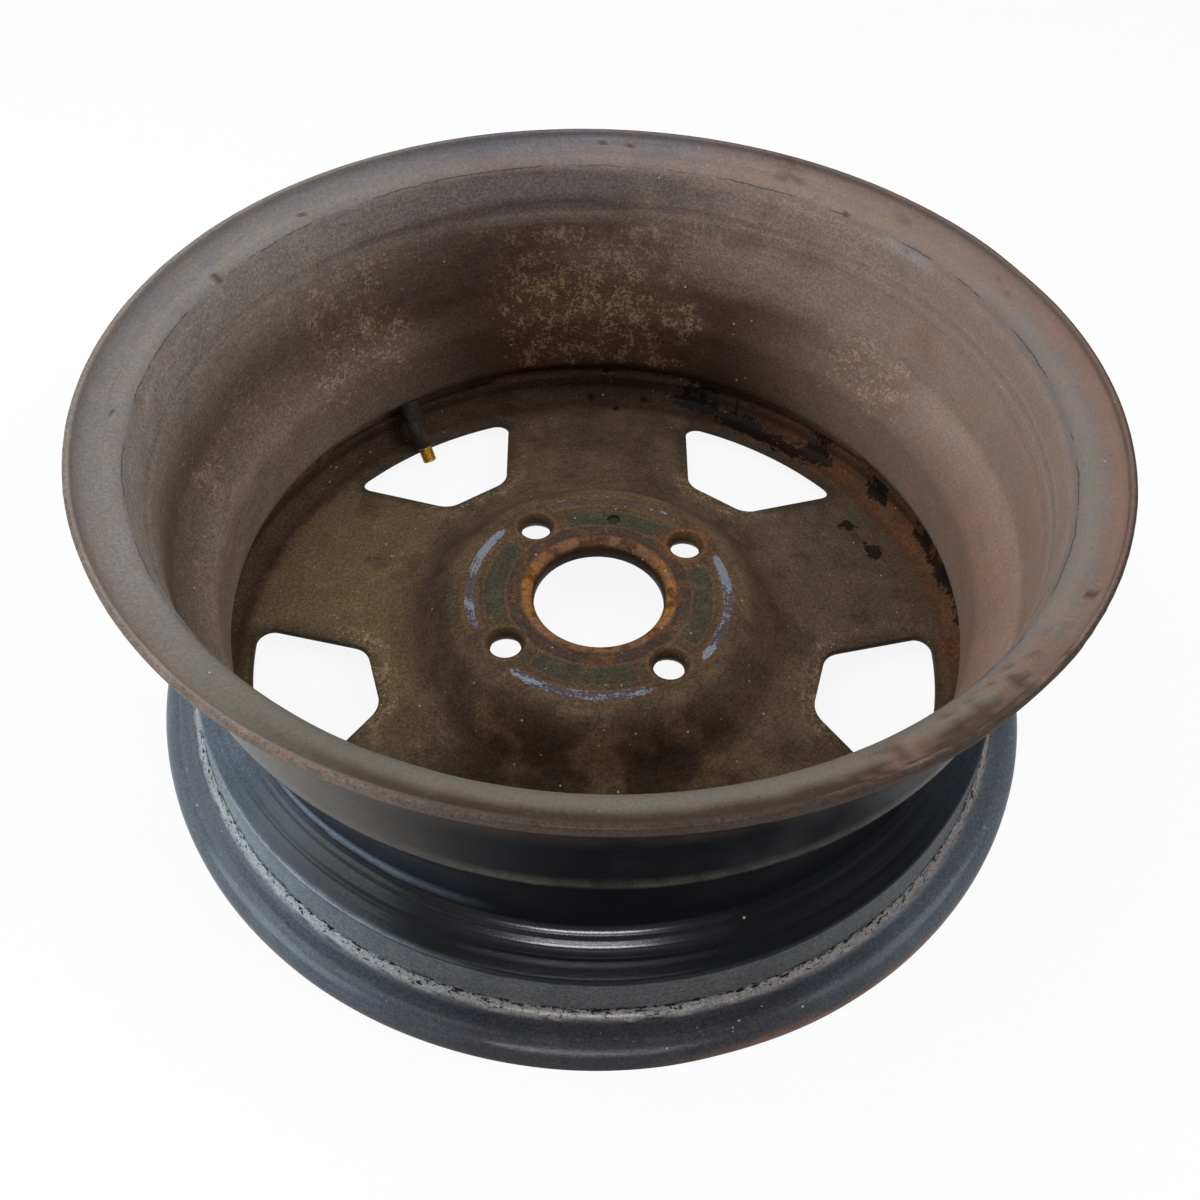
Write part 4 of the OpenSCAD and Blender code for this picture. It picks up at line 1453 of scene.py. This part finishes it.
# Stage
def background_rays(tree):
    """Value that is 1 for rays that see the background straight, in a reflection or through a piece."""
    rays = tree.nodes.new("ShaderNodeLightPath").outputs
    seen = rays["Is Camera Ray"]
    for kind in ("Is Glossy Ray", "Is Transmission Ray"):
        either = tree.nodes.new("ShaderNodeMath")
        either.operation = "MAXIMUM"
        tree.links.new(seen, either.inputs[0])
        tree.links.new(rays[kind], either.inputs[1])
        seen = either.outputs[0]
    return seen


def make_floor():
    half = 6.0
    sides = ((-1, -1), (1, -1), (1, 1), (-1, 1))
    mesh = bpy.data.meshes.new("floor")
    mesh.from_pydata([(x * half, y * half, lip_out_z * MM) for x, y in sides], [], [(0, 1, 2, 3)])
    floor = bpy.data.objects.new("floor", mesh)
    bpy.context.scene.collection.objects.link(floor)
    t = Tree("pale_floor")
    t.surface(Base_Color=(0.86, 0.86, 0.86), Roughness=0.9)
    glow = t.add("ShaderNodeEmission", {"Color": (1, 1, 1), "Strength": 1.0}).outputs[0]
    share = t.math("MULTIPLY", background_rays(t.tree), 0.9)
    both = t.add("ShaderNodeMixShader", {0: share, 1: t.shader.outputs[0], 2: glow}).outputs[0]
    t.plug(t.tree.nodes["Material Output"].inputs["Surface"], both)
    mesh.materials.append(t.material)


def make_world():
    world = bpy.data.worlds.new("studio")
    bpy.context.scene.world = world
    world.use_nodes = True
    tree = world.node_tree
    background = tree.nodes["Background"]
    blend = tree.nodes.new("ShaderNodeMix")
    blend.data_type = "RGBA"
    blend.inputs[6].default_value = (0.5, 0.51, 0.53, 1)
    blend.inputs[7].default_value = (1, 1, 1, 1)
    tree.links.new(background_rays(tree), blend.inputs[0])
    tree.links.new(blend.outputs[2], background.inputs["Color"])


def make_lamp(name, place, aim, size, power, tint=(1, 1, 1)):
    lamp = bpy.data.lights.new(name, "AREA")
    lamp.shape = "RECTANGLE"
    lamp.size, lamp.size_y = size
    lamp.energy = power
    lamp.color = tint
    obj = bpy.data.objects.new(name, lamp)
    obj.location = place
    obj.rotation_euler = (Vector(aim) - Vector(place)).to_track_quat("-Z", "Y").to_euler()
    bpy.context.scene.collection.objects.link(obj)
    return obj


def make_camera():
    """The photograph's camera: place, aim, small turns about its own axes, and its frame."""
    place = Vector((0, -0.3829, 0.4325))
    aim = Vector((0, 0, 0.0475))
    pan, tilt, roll = (math.radians(a) for a in (-0.88, 1.75, 2.18))
    frame_px = 1200
    focal_px = 1192.4
    middle_px = (621.6, 485.7)
    forward = (aim - place).normalized()
    across = Vector((1, 0, 0))
    turn = Matrix.Rotation(pan, 3, across.cross(forward))
    forward, across = turn @ forward, turn @ across
    forward = Matrix.Rotation(tilt, 3, across) @ forward
    up = across.cross(forward)
    x_axis = math.cos(roll) * across + math.sin(roll) * up
    y_axis = math.cos(roll) * up - math.sin(roll) * across
    camera = bpy.data.cameras.new("camera")
    camera.sensor_width = 36
    camera.lens = camera.sensor_width * focal_px / frame_px
    camera.shift_x = (frame_px / 2 - middle_px[0]) / frame_px
    camera.shift_y = (middle_px[1] - frame_px / 2) / frame_px
    camera.clip_start = 0.01
    obj = bpy.data.objects.new("camera", camera)
    rotation = Matrix((x_axis, y_axis, -forward)).transposed().to_4x4()
    obj.matrix_world = Matrix.Translation(place) @ rotation
    bpy.context.scene.collection.objects.link(obj)
    bpy.context.scene.camera = obj


make_camera()
make_floor()
make_world()
make_lamp("key", (-0.65, 0.1, 1.4), (0, 0, 0.03), (1.5, 1.5), 11)
make_lamp("right", (1.1, -0.3, 1.1), (0, 0, 0.05), (0.9, 0.9), 10)
make_lamp("window", (-1.2, -0.6, 0.6), (0, 0, 0.0), (0.9, 0.7), 9, (0.84, 0.93, 1.0))
card = make_lamp("card", (0.0, -1.33, 0.64), (0, -0.18, 0.0), (0.6, 0.22), 34, (0.97, 0.95, 1.0))
card.visible_diffuse = False
bpy.context.scene.view_settings.view_transform = "Standard"

rim, rim_tyre_side, rim_inside = make_rim()
rough_up_rim(rim)
coat_rim(rim, rim_tyre_side, rim_inside)
from_crease = np.hypot(*(rim_inside - crease_place).T)
crease = run_along(rim_inside)[np.argmin(from_crease)]
rim.data.materials.append(aged_steel("rim_steel", 1.3, 0.4, 1.0, crease))

disc = make_disc()
coat_disc(disc)
disc_steel = aged_steel("disc_steel", 3.5, 0.8, 0.82)
disc.data.materials.append(disc_steel)

welds = make_welds()
welds.data.materials.append(disc_steel)

rubber, stem, core, pin = make_rubber(), make_stem(), make_core(), make_pin()
rubber.data.materials.append(aged_rubber())
brass = dull_brass()
for piece in (stem, core, pin):
    piece.data.materials.append(brass)

for piece, node, body, slot in (
    (rim, "rim", "wheel", "rim_steel"),
    (disc, "wheel_disc", "wheel", "disc_steel"),
    (welds, "disc_welds", "wheel", "weld_steel"),
    (rubber, "valve_rubber", "wheel", "valve_rubber"),
    (stem, "valve_stem", "wheel", "valve_brass"),
    (core, "valve_core", "wheel", "valve_brass"),
    (pin, "valve_pin", "pin", "valve_brass"),
):
    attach(piece, body)
    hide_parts(node)
